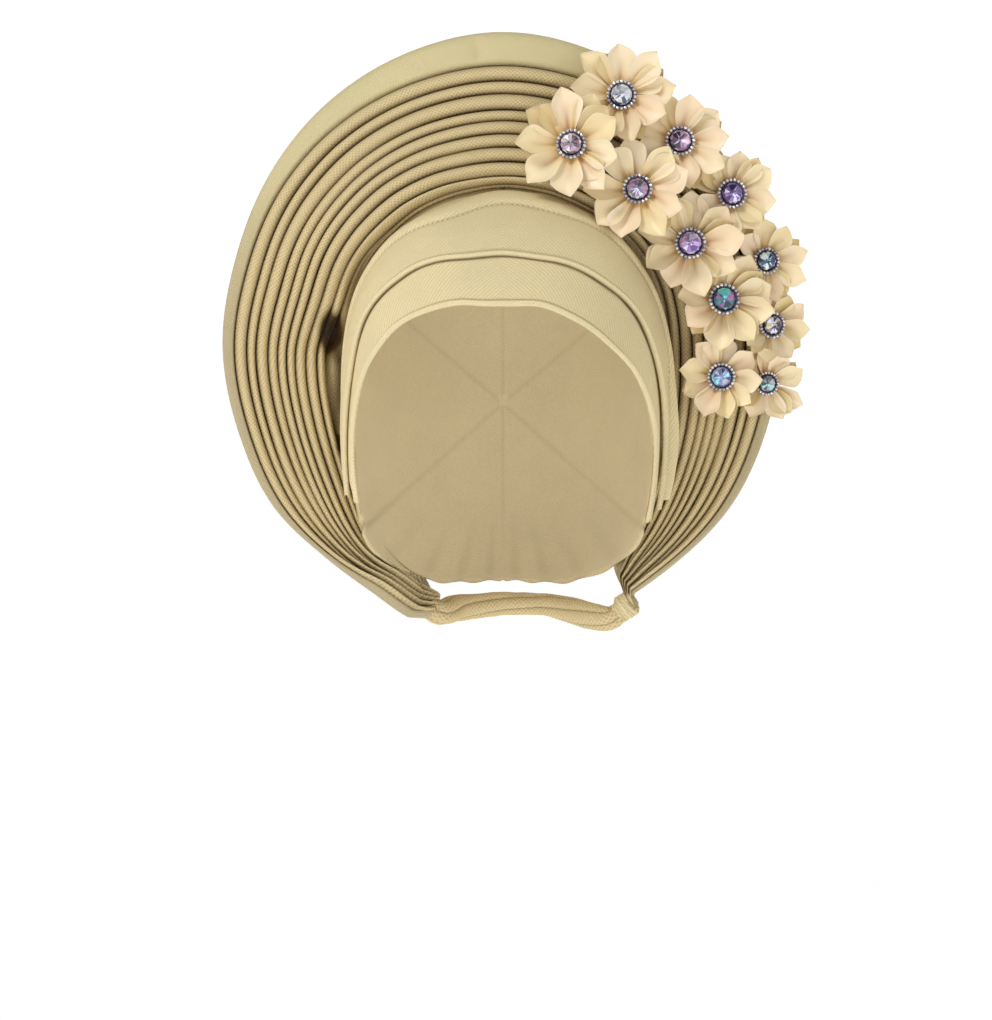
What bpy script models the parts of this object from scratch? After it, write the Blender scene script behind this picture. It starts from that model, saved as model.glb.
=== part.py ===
"""Tied gele head tie: a fitted cap with two bands, a pleated fan and a spray of jewelled ribbon flowers.

Units are metres, +Z is up, the wearer faces -Y and the wearer's left is +X.
The origin is the middle of the head hollow at eye level, where the tie sits on the head.
"""

import math

import bmesh
import bpy
from mathutils import Matrix, Vector
from mathutils.bvhtree import BVHTree

MM = 0.001

# Head hollow that the cap is cut to
HEAD_HALF_WIDTH = 70.5 * MM
HEAD_CROWN = 103.0 * MM
HEAD_BELOW = 110.0 * MM
HEAD_FRONT = 91.0 * MM
HEAD_REAR = 98.0 * MM
HEAD_CENTRE_Y = 5.0 * MM
HEAD_FULLNESS = 0.08

# Cloth layers on the head
CAP_WALL = 1.2 * MM
BROW_CLOTH = 1.4 * MM
BROW_HEM = 0.9 * MM
CROWN_CLOTH = 1.6 * MM
CROWN_ROLL = 0.9 * MM
CROWN_FLARE = 8.0 * MM
CLOTH_REST = 0.5 * MM
SEAT_GAP = 0.3 * MM
END_GAP = 0.5 * MM

# Degrees of turn: the cap's edge behind the brow band's, the brow band under the crown band, and the
# crown band's step down from the brow band to the cap
CAP_SET_BACK = 2.5
BROW_TUCK = 5.0
CROWN_STEP = 8.0

# Pleated fan
FAN_CENTRE_Z = 30.0 * MM
FAN_REACH = 139.2 * MM
FAN_SET_BACK = 14.0 * MM
FAN_LEAN = math.radians(13.0)
FAN_BOW = 15.0 * MM
FAN_WALL = 2.2 * MM
PLEAT_RISE = 3.2 * MM
FAN_BACK_GROOVE = 1.2 * MM
ROOT_STAND_OFF = 8.0 * MM
ROOT_EASE = 0.05

# Nape roll and side knot
ROLL_RADIUS = 6.5 * MM
ROLL_TWIST = math.radians(300.0)
ROLL_LOBE = 1.0 * MM
ROLL_END_SHARE = 0.6
KNOT_RADIUS = 6.2 * MM
KNOT_LENGTH = 12.0 * MM
KNOT_GROOVE = 1.1 * MM
KNOT_SHIFT = 4.0 * MM
KNOT_END_SHARE = 0.12

# Ribbon flowers
PETAL_COUNT = 9
PETAL_REACH = 22.0 * MM
PETAL_HALF_WIDTH = 5.3 * MM
PETAL_CLOTH = 0.9 * MM
PETAL_CUP = 3.2 * MM
PETAL_GUTTER = 1.4 * MM
HUB_RADIUS = 4.6 * MM
STEM_RADIUS = 2.4 * MM
FLOWER_LIFT = 7.0 * MM

# Jewelled centres
SETTING_RADIUS = 6.9 * MM
SETTING_HEIGHT = 2.9 * MM
SETTING_WALL = 1.5 * MM
SETTING_FLOOR = 0.8 * MM
STONE_CLEARANCE = 0.25 * MM
STONE_CROWN = 2.1 * MM
STONE_TABLE_SHARE = 0.46
STONE_PAVILION_SHARE = 0.62

# Edges of the two bands, a row for each bearing round the face. Bearings are degrees from straight up,
# plus towards the wearer's left. Edges are degrees of turn from straight ahead. The flare is the
# share of CROWN_FLARE by which the crown band's outer edge stands off the head.
BAND_EDGES = (
    # bearing, face edge, crown low edge, crown outer edge, flare
    (-120, 75, 84, 94, 0.00),
    (-100, 71.8, 77, 93, 0.00),
    (-85, 62.5, 70.5, 90, 0.00),
    (-70, 48.5, 64.5, 82, 0.00),
    (-50, 33, 50.5, 69, 0.00),
    (-25, 25.2, 41.2, 60.5, 0.00),
    (0, 23.8, 39, 64.5, 0.00),
    (25, 25, 39.5, 62.8, 0.00),
    (50, 30, 46.5, 69.5, 0.15),
    (70, 42, 61.5, 80, 0.45),
    (85, 59, 73, 84, 0.75),
    (100, 74.5, 80, 87, 1.00),
    (120, 79.5, 84, 90, 0.55),
)

# Nape edge of the cap, in degrees of turn, for bearings below the bands
NAPE_EDGE = (
    # bearing, turn
    (120, 88),
    (130, 104),
    (140, 116),
    (160, 126),
    (180, 129),
)

# Sections of the fan, a row for each angle from straight up round the fan's middle. Reach is the
# share of FAN_REACH, lift the share of ROOT_STAND_OFF, bow and rise shares of FAN_BOW and PLEAT_RISE,
# hollow the share of the width between the cap and the first pleat, and top the share of the top's
# pleat widths against the side's.
FAN_SECTIONS = (
    # angle, reach, root bearing, root turn, lift, hollow, bow, rise, top
    (-161, 0.992, -145, 121, 0.90, 0.05, 0.15, 0.45, 0.0),
    (-152, 0.960, -136, 117, 0.80, 0.06, 0.30, 0.60, 0.0),
    (-140, 0.949, -124, 112, 0.50, 0.08, 0.50, 0.80, 0.0),
    (-126, 0.955, -108, 107, 0.12, 0.12, 0.75, 1.00, 0.0),
    (-110, 0.935, -92, 104, 0.10, 0.19, 1.00, 1.00, 0.0),
    (-92, 0.926, -77, 100, 0.05, 0.19, 1.00, 1.00, 0.0),
    (-74, 0.926, -62, 90, 0.05, 0.13, 0.80, 1.00, 0.1),
    (-56, 0.937, -46, 72, 0.05, 0.05, 0.55, 1.00, 0.35),
    (-38, 0.960, -31, 67, 0.05, 0.03, 0.42, 1.00, 0.65),
    (-19, 0.983, -15, 67, 0.05, 0.03, 0.40, 1.00, 0.9),
    (0, 1.000, 0, 69, 0.05, 0.03, 0.40, 1.00, 1.0),
    (19, 0.983, 15, 68, 0.05, 0.03, 0.40, 1.00, 0.9),
    (38, 0.960, 31, 68, 0.05, 0.03, 0.42, 1.00, 0.65),
    (56, 0.937, 46, 76, 0.05, 0.05, 0.50, 1.00, 0.35),
    (74, 0.926, 62, 90, 0.05, 0.10, 0.60, 1.00, 0.1),
    (92, 0.926, 77, 99, 0.05, 0.14, 0.65, 1.00, 0.0),
    (110, 0.935, 92, 103, 0.10, 0.14, 0.65, 1.00, 0.0),
    (126, 0.950, 107, 107, 0.12, 0.12, 0.60, 1.00, 0.0),
    (140, 0.953, 122, 111, 0.35, 0.08, 0.45, 0.80, 0.0),
    (147, 0.958, 128, 112, 0.45, 0.07, 0.32, 0.62, 0.0),
    (152.5, 0.966, 133, 112, 0.56, 0.05, 0.15, 0.45, 0.0),
)
FAN_STATIONS = 32

# Widths of the fan's folds from the root out, as shares of the pleated width, at the top and the side
PLEATS = (
    # top, side
    (0.062, 0.086),
    (0.089, 0.109),
    (0.091, 0.104),
    (0.089, 0.085),
    (0.084, 0.087),
    (0.069, 0.093),
    (0.105, 0.118),
    (0.083, 0.087),
    (0.096, 0.122),
)

# Rounding of one pleat, and of the plain rim: share of its width, share of its rise
PLEAT_FRONT = ((0.0, 0.0), (0.28, 0.92), (0.70, 1.0))
RIM_FRONT = ((0.0, 0.0), (0.18, 0.80), (0.55, 0.75), (0.88, 0.35))

# Rows of the cap from its edge to the back of the head, closer together where the fan stands on it
CAP_ROWS = (0.0, 0.14, 0.25, 0.35, 0.45, 0.58, 0.72, 0.86)
CAP_COLUMNS = 36

# Route of the nape roll over the cap's nape edge, by bearing
NAPE_ROUTE = (
    # bearing, turn
    (160, 124),
    (172, 127),
    (185, 127),
    (198, 124),
)

# Flowers: place of the centre as shares of FAN_REACH from the fan's middle, sizes as shares of the
# petal and setting sizes, lift as a share of FLOWER_LIFT, and the way that each faces in degrees
FLOWERS = (
    # across, up, petal size, setting size, lift, pitch, yaw, spin
    (0.390, 0.786, 1.00, 1.00, 1.00, 6, 0, 8),
    (0.225, 0.621, 1.04, 1.00, 1.00, 8, -4, 24),
    (0.582, 0.637, 0.96, 1.00, 1.00, 5, 6, 2),
    (0.443, 0.475, 1.02, 1.00, 1.00, 6, -2, 15),
    (0.754, 0.466, 0.90, 1.00, 1.00, 3, 10, 30),
    (0.618, 0.300, 1.00, 1.05, 1.40, 4, 0, 5),
    (0.869, 0.247, 0.82, 0.90, 0.80, 0, 16, 12),
    (0.731, 0.119, 0.95, 1.05, 1.90, 0, 4, 20),
    (0.889, 0.036, 0.74, 0.90, 0.90, -3, 18, 34),
    (0.723, -0.136, 0.80, 0.95, 1.80, -4, 4, 3),
    (0.876, -0.156, 0.76, 0.80, 0.90, -8, 10, 18),
)

CLOTH_GOLD = (0.57, 0.45, 0.25)
BAND_GOLD = (0.73, 0.62, 0.36)
PETAL_CREAM = (0.86, 0.70, 0.48)
SETTING_GREY = (0.42, 0.40, 0.42)
STONE_VIOLET = (0.55, 0.45, 0.72)


def clear_scene():
    """Empty the file of objects, so that only the head tie is in it."""
    for item in list(bpy.data.objects):
        bpy.data.objects.remove(item, do_unlink=True)


def material(name, colour, roughness, metallic=0.0):
    """A plain Principled finish."""
    finish = bpy.data.materials.new(name)
    finish.use_nodes = True
    shader = finish.node_tree.nodes["Principled BSDF"]
    shader.inputs["Base Color"].default_value = (*colour, 1.0)
    shader.inputs["Roughness"].default_value = roughness
    shader.inputs["Metallic"].default_value = metallic
    return finish


def between(rows, key):
    """The row of a table at a key between its rows, by a smooth curve through them."""
    last = len(rows) - 1
    low = 0
    while low < last - 1 and rows[low + 1][0] < key:
        low += 1
    start, end = rows[low], rows[low + 1]
    span = end[0] - start[0]
    part = min(1.0, max(0.0, (key - start[0]) / span))
    values = []
    for column in range(1, len(start)):
        step = end[column] - start[column]
        slope_in = slope_out = step
        if low > 0:
            before = rows[low - 1]
            slope_in = span * (end[column] - before[column]) / (end[0] - before[0])
        if low + 1 < last:
            after = rows[low + 2]
            slope_out = span * (after[column] - start[column]) / (after[0] - start[0])
        square, cube = part * part, part * part * part
        values.append(
            start[column]
            + (part - 2 * square + cube) * slope_in
            + (3 * square - 2 * cube) * step
            + (cube - square) * slope_out
        )
    return values


def on_head(bearing, turn, lift):
    """Point off the head hollow: bearing and turn in degrees, lift in metres."""
    around, back = math.radians(bearing), math.radians(turn)
    upright = HEAD_CROWN if math.cos(around) > 0 else HEAD_BELOW
    depth = HEAD_FRONT if math.cos(back) > 0 else HEAD_REAR
    fuller = 1 + HEAD_FULLNESS * math.sin(2 * around) ** 2
    return Vector((
        (HEAD_HALF_WIDTH + lift) * math.sin(around) * math.sin(back) * fuller,
        HEAD_CENTRE_Y - (depth + lift) * math.cos(back),
        (upright + lift) * math.cos(around) * math.sin(back) * fuller,
    ))


def new_object(name, mesh, finish, group):
    """Put a mesh in the scene as one named piece."""
    mesh.materials.append(finish)
    piece = bpy.data.objects.new(name, mesh)
    group.objects.link(piece)
    return piece


def loft(name, rings, finish, group):
    """One closed solid through rings of as many points each, with a cap at each end."""
    cage = bmesh.new()
    made = [[cage.verts.new(point) for point in ring] for ring in rings]
    count = len(made[0])
    for near, far in zip(made, made[1:]):
        for i in range(count):
            j = (i + 1) % count
            cage.faces.new((near[i], near[j], far[j], far[i]))
    cage.faces.new(made[0][::-1])
    cage.faces.new(made[-1])
    bmesh.ops.triangulate(cage, faces=cage.faces[:])
    bmesh.ops.recalc_face_normals(cage, faces=cage.faces[:])
    mesh = bpy.data.meshes.new(name)
    cage.to_mesh(mesh)
    cage.free()
    mesh.shade_smooth()
    mesh.set_sharp_from_angle(angle=math.radians(50))
    return new_object(name, mesh, finish, group)


def face_edge(bearing):
    """Turn of the cap's and brow band's edge at a bearing, round the face and under the nape."""
    side = (bearing + 180) % 360 - 180
    if abs(side) <= BAND_EDGES[-1][0]:
        return between(BAND_EDGES, side)[0]
    return between(NAPE_EDGE, abs(side))[0]


def cap_crown(finish, group):
    """The bonnet: one cloth wall from the face and nape edges to the back of the head."""
    cage = bmesh.new()
    grid = []
    for i in range(CAP_COLUMNS):
        bearing = 360 * i / CAP_COLUMNS
        start = face_edge(bearing) + CAP_SET_BACK
        column = [
            cage.verts.new(on_head(bearing, start + (180 - start) * share, 0.0))
            for share in CAP_ROWS
        ]
        grid.append(column)
    pole = cage.verts.new(on_head(0, 180, 0.0))
    for i in range(CAP_COLUMNS):
        here, there = grid[i], grid[(i + 1) % CAP_COLUMNS]
        for k in range(len(CAP_ROWS) - 1):
            cage.faces.new((here[k], here[k + 1], there[k + 1], there[k]))
        cage.faces.new((here[-1], pole, there[-1]))
    bmesh.ops.recalc_face_normals(cage, faces=cage.faces[:])
    mesh = bpy.data.meshes.new("cap_crown")
    cage.to_mesh(mesh)
    cage.free()
    mesh.shade_smooth()
    piece = new_object("cap_crown", mesh, finish, group)
    wall = piece.modifiers.new("wall", "SOLIDIFY")
    wall.thickness = CAP_WALL
    wall.offset = 1.0
    return piece


def band_bearings(step=10):
    """Bearings of the bands' sections, in line with the cap's."""
    first, last = BAND_EDGES[0][0], BAND_EDGES[-1][0]
    return range(first, last + step, step)


def brow_band(finish, group):
    """The band round the face, with its rolled hem, tucked under the crown band."""
    inner = CAP_WALL + CLOTH_REST
    outer = inner + BROW_CLOTH
    rings = []
    for bearing in band_bearings():
        face, low = between(BAND_EDGES, bearing)[:2]
        rear = low + BROW_TUCK
        width = rear - face
        section = (
            # share of the width, lift
            (0.00, inner + BROW_CLOTH / 2),
            (0.03, inner),
            (0.35, inner),
            (0.68, inner),
            (1.00, inner),
            (1.00, outer),
            (0.68, outer),
            (0.35, outer),
            (0.18, outer),
            (0.09, outer + BROW_HEM),
            (0.02, outer + BROW_HEM / 2),
        )
        rings.append([on_head(bearing, face + width * share, lift) for share, lift in section])
    return loft("brow_band", rings, finish, group)


def crown_band(finish, group):
    """The second band, with its rolled lower edge over the brow band and its outer edge at the fan."""
    over_brow = CAP_WALL + BROW_CLOTH + 2 * CLOTH_REST
    over_cap = CAP_WALL + CLOTH_REST
    rings = []
    for bearing in band_bearings():
        _, low, out, flare = between(BAND_EDGES, bearing)
        stand_off = CROWN_FLARE * max(0.0, flare)
        knee = min(low + CROWN_STEP, low + 0.75 * (out - low))
        middle = (knee + out) / 2
        at_out = over_cap + stand_off
        at_middle = (over_brow + at_out) / 2
        at_low = over_brow + stand_off * 0.1
        section = (
            # turn, lift
            (low, at_low + CROWN_CLOTH / 2),
            (low + 0.5, at_low),
            (knee, over_brow + stand_off * 0.25),
            (middle, at_middle),
            (out, at_out),
            (out + 0.4, at_out + CROWN_CLOTH / 2),
            (out, at_out + CROWN_CLOTH),
            (middle, at_middle + CROWN_CLOTH),
            (knee, over_brow + stand_off * 0.25 + CROWN_CLOTH),
            (low + 2.2, at_low + CROWN_CLOTH + CROWN_ROLL),
            (low + 0.6, at_low + CROWN_CLOTH + CROWN_ROLL / 2),
        )
        rings.append([on_head(bearing, turn, lift) for turn, lift in section])
    return loft("crown_band", rings, finish, group)


def fan_frame(angle):
    """Root point, rim point and shape shares of the fan's section at an angle."""
    reach, bearing, turn, lift, hollow, bow, rise, top = between(FAN_SECTIONS, angle)
    root = on_head(bearing, turn, CAP_WALL + SEAT_GAP + ROOT_STAND_OFF * lift)
    way = math.radians(angle)
    up = FAN_REACH * reach * math.cos(way)
    rim = Vector((
        FAN_REACH * reach * math.sin(way),
        FAN_SET_BACK - math.tan(FAN_LEAN) * up,
        FAN_CENTRE_Z + up,
    ))
    return root, rim, hollow, bow * FAN_BOW, rise * PLEAT_RISE, top


def fan_axes(angle):
    """Direction across the fan's width, its front normal and its run at an angle."""
    root, rim = fan_frame(angle)[:2]
    nearby = 1.0
    low, high = FAN_SECTIONS[0][0], FAN_SECTIONS[-1][0]
    before = fan_frame(max(low, angle - nearby))
    after = fan_frame(min(high, angle + nearby))
    run = ((after[0] + after[1]) - (before[0] + before[1])).normalized()
    across = rim - root
    run = (run - across * (run.dot(across) / across.length_squared)).normalized()
    front = across.cross(run).normalized()
    if front.y > 0:
        front.negate()
    return across, front, run


def fan_profile(hollow, rise, top):
    """Closed outline of one fan section: share of the width, height over the cloth's back."""
    front = [(0.0, FAN_WALL), (hollow / 2, FAN_WALL)]
    back = [(0.0, 0.0), (hollow / 2, 0.0)]
    pleated = 1.0 - hollow
    place = hollow
    for top_share, side_share in PLEATS:
        width = pleated * (side_share + (top_share - side_share) * top)
        for share, height in PLEAT_FRONT:
            front.append((place + width * share, FAN_WALL + rise * height))
        back.append((place + width * 0.5, FAN_BACK_GROOVE * rise / PLEAT_RISE))
        place += width
    rim = 1.0 - place
    front += [(place + rim * share, FAN_WALL + rise * height) for share, height in RIM_FRONT]
    tip = [(1.0, FAN_WALL / 2)]
    back += [(place, 0.0), (place + rim * RIM_FRONT[-1][0], 0.0)]
    return front + tip + back[::-1]


def fan_ring(angle):
    """Points of the fan's section at an angle."""
    root, _, hollow, bow, rise, top = fan_frame(angle)
    across, front, _ = fan_axes(angle)
    ring = []
    for share, height in fan_profile(hollow, rise, top):
        forward = bow * (1 - share) * (1 - math.exp(-share / ROOT_EASE))
        ring.append(root + across * share + front * (forward + height))
    return ring


def pleated_fan(finish, group):
    """The stiff pleated cloth round the head: nine rounded pleats and a broad plain rim."""
    first, last = FAN_SECTIONS[0][0], FAN_SECTIONS[-1][0]
    angles = [first + (last - first) * k / (FAN_STATIONS - 1) for k in range(FAN_STATIONS)]
    return loft("pleated_fan", [fan_ring(angle) for angle in angles], finish, group)


def fan_end(angle):
    """Middle of the fan's end section and the way that its folds leave it."""
    ring = fan_ring(angle)
    middle = sum(ring, Vector()) / len(ring)
    _, _, run = fan_axes(angle)
    return middle, run * (1 if angle > 0 else -1)


def side_knot(finish, group):
    """The knot below the fan's end at the wearer's left: a cord wound three times round."""
    end, way = fan_end(FAN_SECTIONS[-1][0])
    across = fan_axes(FAN_SECTIONS[-1][0])[0].normalized()
    wraps, per_wrap = 3, 3
    half = KNOT_LENGTH / 2
    profile = []
    for k in range(wraps * per_wrap + 1):
        share = k / (wraps * per_wrap)
        belly = math.sin(math.pi * (KNOT_END_SHARE + (1 - 2 * KNOT_END_SHARE) * share))
        wave = math.cos(2 * math.pi * wraps * share)
        radius = (KNOT_RADIUS - KNOT_GROOVE) * belly - KNOT_GROOVE / 2 * wave
        profile.append((radius, half - KNOT_LENGTH * share))
    cage = bmesh.new()
    line = [cage.verts.new((0, 0, half))]
    line += [cage.verts.new((radius, 0, height)) for radius, height in profile]
    line.append(cage.verts.new((0, 0, -half)))
    for above, below in zip(line, line[1:]):
        cage.edges.new((above, below))
    mesh = bpy.data.meshes.new("side_knot")
    cage.to_mesh(mesh)
    cage.free()
    piece = new_object("side_knot", mesh, finish, group)
    turned(piece, 10)
    centre = end + way * (half + END_GAP) + across * KNOT_SHIFT
    piece.matrix_world = Matrix.Translation(centre) @ way.to_track_quat("Z", "Y").to_matrix().to_4x4()
    return centre + way * (half + END_GAP), way


def turned(piece, sides):
    """Turn a profile at +X round its own Z."""
    screw = piece.modifiers.new("turned", "SCREW")
    screw.steps = sides
    screw.render_steps = sides
    screw.use_merge_vertices = True
    screw.merge_threshold = 0.00001
    screw.use_smooth_shade = True


def nape_roll(start, start_way, finish, group):
    """The twisted roll of gathered cloth behind the neck, from the knot to the fan's other end."""
    end, end_way = fan_end(FAN_SECTIONS[0][0])
    lift = CAP_WALL + SEAT_GAP + ROLL_RADIUS + ROLL_LOBE
    middle = [on_head(bearing, turn, lift) for bearing, turn in NAPE_ROUTE]
    stop = end + end_way * END_GAP
    straight = ROLL_RADIUS
    route = [start, start + start_way * straight, *middle, stop + end_way * straight, stop]
    per_span = 2
    centres = []
    for i in range(len(route) - 1):
        before = route[max(0, i - 1)]
        after = route[min(len(route) - 1, i + 2)]
        for k in range(per_span):
            part = k / per_span
            square, cube = part * part, part * part * part
            slope_in = (route[i + 1] - before) / 2
            slope_out = (after - route[i]) / 2
            centres.append(
                route[i] * (1 - 3 * square + 2 * cube)
                + slope_in * (part - 2 * square + cube)
                + route[i + 1] * (3 * square - 2 * cube)
                + slope_out * (cube - square)
            )
    centres.append(route[-1])
    sides, lobes = 12, 3
    side = start_way.orthogonal().normalized()
    rings = []
    for i, centre in enumerate(centres):
        ahead = centres[min(i + 1, len(centres) - 1)]
        behind = centres[max(i - 1, 0)]
        way = (ahead - behind).normalized()
        if i == 0:
            way = start_way
        if i == len(centres) - 1:
            way = -end_way
        side = (side - way * side.dot(way)).normalized()
        other = way.cross(side)
        share = i / (len(centres) - 1)
        turn = ROLL_TWIST * share
        fullness = ROLL_END_SHARE + (1 - ROLL_END_SHARE) * math.sin(math.pi * share)
        ring = []
        for k in range(sides):
            angle = 2 * math.pi * k / sides
            radius = (ROLL_RADIUS + ROLL_LOBE * math.cos(lobes * angle + turn)) * fullness
            ring.append(centre + side * (radius * math.cos(angle)) + other * (radius * math.sin(angle)))
        rings.append(ring)
    return loft("nape_roll", rings, finish, group)


def flower_mesh(name, size, stem):
    """A ribbon flower about its own Z: cupped pointed petals, each with a sunken middle, on a stem."""
    reach, half_width = PETAL_REACH * size, PETAL_HALF_WIDTH * size
    cup, gutter = PETAL_CUP * size, PETAL_GUTTER * size
    slice_angle = 2 * math.pi / PETAL_COUNT
    rows = (
        # share of the reach, share of the half width, share of the cup
        (0.46, 0.62, 0.40),
        (0.74, 1.00, 0.85),
    )
    cage = bmesh.new()

    def point(along, aside, height, turn):
        """A vertex of the cloth's upper and one of its lower side."""
        place = Matrix.Rotation(turn, 3, "Z") @ Vector((along, aside, 0))
        return (
            cage.verts.new((place.x, place.y, height)),
            cage.verts.new((place.x, place.y, height - PETAL_CLOTH)),
        )

    def face(*corners):
        """The same face on both sides of the cloth."""
        cage.faces.new([corner[0] for corner in corners])
        cage.faces.new([corner[1] for corner in reversed(corners)])

    def edge(a, b):
        """The cut edge between both sides."""
        cage.faces.new((a[0], a[1], b[1], b[0]))

    top = cage.verts.new((0, 0, 0))
    foot = cage.verts.new((0, 0, -stem))
    notches = [point(HUB_RADIUS, 0, 0, slice_angle * (k - 0.5)) for k in range(PETAL_COUNT)]
    stems = []
    for k in range(PETAL_COUNT):
        turn = slice_angle * (k - 0.5)
        stems.append(cage.verts.new((STEM_RADIUS * math.cos(turn), STEM_RADIUS * math.sin(turn), -stem)))
    for k in range(PETAL_COUNT):
        turn = slice_angle * k
        left, right = notches[(k + 1) % PETAL_COUNT], notches[k]
        middle = point(HUB_RADIUS * 1.02, 0, 0, turn)
        here = (left, middle, right)
        for along, width, height in rows:
            raised = cup * height
            ahead = (
                point(reach * along, half_width * width, raised, turn),
                point(reach * along, 0, raised - gutter * width, turn),
                point(reach * along, -half_width * width, raised, turn),
            )
            face(here[0], here[1], ahead[1], ahead[0])
            face(here[1], here[2], ahead[2], ahead[1])
            edge(ahead[0], here[0])
            edge(here[2], ahead[2])
            here = ahead
        tip = point(reach, 0, cup, turn)
        face(here[0], here[1], tip)
        face(here[1], here[2], tip)
        edge(tip, here[0])
        edge(here[2], tip)
        cage.faces.new((top, right[0], middle[0]))
        cage.faces.new((top, middle[0], left[0]))
        foot_right, foot_left = stems[k], stems[(k + 1) % PETAL_COUNT]
        cage.faces.new((middle[1], right[1], foot_right))
        cage.faces.new((middle[1], foot_right, foot_left))
        cage.faces.new((middle[1], foot_left, left[1]))
        cage.faces.new((foot, foot_left, foot_right))
    bmesh.ops.triangulate(cage, faces=cage.faces[:])
    bmesh.ops.recalc_face_normals(cage, faces=cage.faces[:])
    mesh = bpy.data.meshes.new(name)
    cage.to_mesh(mesh)
    cage.free()
    return mesh


def profile_object(name, profile, finish, group):
    """A turned piece from a profile that runs down its outer side, top to bottom."""
    cage = bmesh.new()
    line = [cage.verts.new((radius, 0, height)) for radius, height in profile]
    for above, below in zip(line, line[1:]):
        cage.edges.new((above, below))
    mesh = bpy.data.meshes.new(name)
    cage.to_mesh(mesh)
    cage.free()
    return new_object(name, mesh, finish, group)


def setting(name, size, finish, group):
    """A dish of metal that holds the stone, with a flared rim for its small stones."""
    radius, height = SETTING_RADIUS * size, SETTING_HEIGHT * size
    inner = radius - SETTING_WALL * size
    floor = SETTING_FLOOR * size
    profile = (
        (0.0, floor),
        (inner * 0.85, floor),
        (inner, height),
        (radius * 0.94, height),
        (radius, height * 0.72),
        (radius * 0.66, 0.0),
        (0.0, 0.0),
    )
    piece = profile_object(name, profile, finish, group)
    turned(piece, 12)
    return piece


def stone(name, size, finish, group):
    """A round cut stone with a flat table, twelve crown facets and a cut-off pavilion."""
    inner = (SETTING_RADIUS - SETTING_WALL) * size
    girdle = inner - STONE_CLEARANCE * 2
    depth = (SETTING_HEIGHT - SETTING_FLOOR) * size - STONE_CLEARANCE
    profile = (
        (0.0, depth + STONE_CROWN * size),
        (girdle * STONE_TABLE_SHARE, depth + STONE_CROWN * size),
        (girdle, depth + 0.25 * STONE_CROWN * size),
        (girdle * 0.97, depth),
        (girdle * STONE_PAVILION_SHARE, 0.0),
        (0.0, 0.0),
    )
    piece = profile_object(name, profile, finish, group)
    turned(piece, 12)
    piece.modifiers["turned"].use_smooth_shade = False
    return piece


def seat_depth(tree, across, up, radius, axis):
    """Y at which a round foot facing along an axis clears the cloth behind it."""
    nearest = None
    for ring in (0.0, 0.5, 1.0):
        for k in range(12):
            turn = 2 * math.pi * k / 12
            aside, above = ring * radius * math.cos(turn), ring * radius * math.sin(turn)
            start = Vector((across + aside, -1.0, up + above))
            hit = tree.ray_cast(start, Vector((0, 1, 0)))[0]
            if hit is None:
                continue
            slope = -(axis.x * aside + axis.z * above) / axis.y
            depth = hit.y - slope
            nearest = depth if nearest is None else min(nearest, depth)
    return nearest


def flowers(tree, finishes, group):
    """The spray of flowers over the fan at the wearer's left, each with its setting and stone."""
    petals, metal, gem = finishes
    for number, row in enumerate(FLOWERS, start=1):
        across, up, size, jewel, lift, pitch, yaw, spin = row
        facing = Matrix.Rotation(math.radians(yaw), 3, "Z") @ Matrix.Rotation(math.radians(-pitch), 3, "X")
        axis = facing @ Vector((0, -1, 0))
        stem = FLOWER_LIFT * lift
        foot = Vector((FAN_REACH * across, 0, FAN_CENTRE_Z + FAN_REACH * up)) - axis * stem
        foot.y = seat_depth(tree, foot.x, foot.z, STEM_RADIUS, axis) - SEAT_GAP
        hub = foot + axis * stem
        turn = axis.to_track_quat("Z", "Y").to_matrix().to_4x4() @ Matrix.Rotation(math.radians(spin), 4, "Z")
        name = f"{number:02d}"
        flower = new_object("flower_" + name, flower_mesh("flower_" + name, size, stem), petals, group)
        flower.matrix_world = Matrix.Translation(hub) @ turn
        holder = setting("setting_" + name, jewel, metal, group)
        holder.matrix_world = Matrix.Translation(hub + axis * SEAT_GAP) @ turn
        gemstone = stone("stone_" + name, jewel, gem, group)
        rise = SEAT_GAP + SETTING_FLOOR * jewel + STONE_CLEARANCE
        gemstone.matrix_world = Matrix.Translation(hub + axis * rise) @ turn


def main():
    clear_scene()
    group = bpy.data.collections.new("tied_gele_head_tie")
    bpy.context.scene.collection.children.link(group)
    cloth = material("pleated cloth", CLOTH_GOLD, 0.8)
    band_cloth = material("band cloth", BAND_GOLD, 0.78)
    satin = material("petal satin", PETAL_CREAM, 0.45)
    metal = material("setting metal", SETTING_GREY, 0.3, 1.0)
    gem = material("cut stone", STONE_VIOLET, 0.08)
    cap_crown(cloth, group)
    brow_band(band_cloth, group)
    crown_band(band_cloth, group)
    fan = pleated_fan(cloth, group)
    roll_start, roll_way = side_knot(band_cloth, group)
    nape_roll(roll_start, roll_way, cloth, group)
    tree = BVHTree.FromObject(fan, bpy.context.evaluated_depsgraph_get())
    flowers(tree, (satin, metal, gem), group)


main()
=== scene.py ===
# %% [markdown]
# # Dressing a tied gele head tie
#
# A gele is a long stiff cloth that is pleated, wrapped round the head and pinned. This one is tied for
# good on a fitted cap: two smooth bands over the brow, a broad fan of rounded pleats, a twist of cloth at
# the neck and a spray of ribbon flowers with jewelled centres. The CAD part gives every piece its place
# and size. This lesson gives each piece its cloth, folds, stitches and shine.

import math
import random

import bmesh
import bpy
import numpy as np
from mathutils import Matrix, Vector, noise


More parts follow.
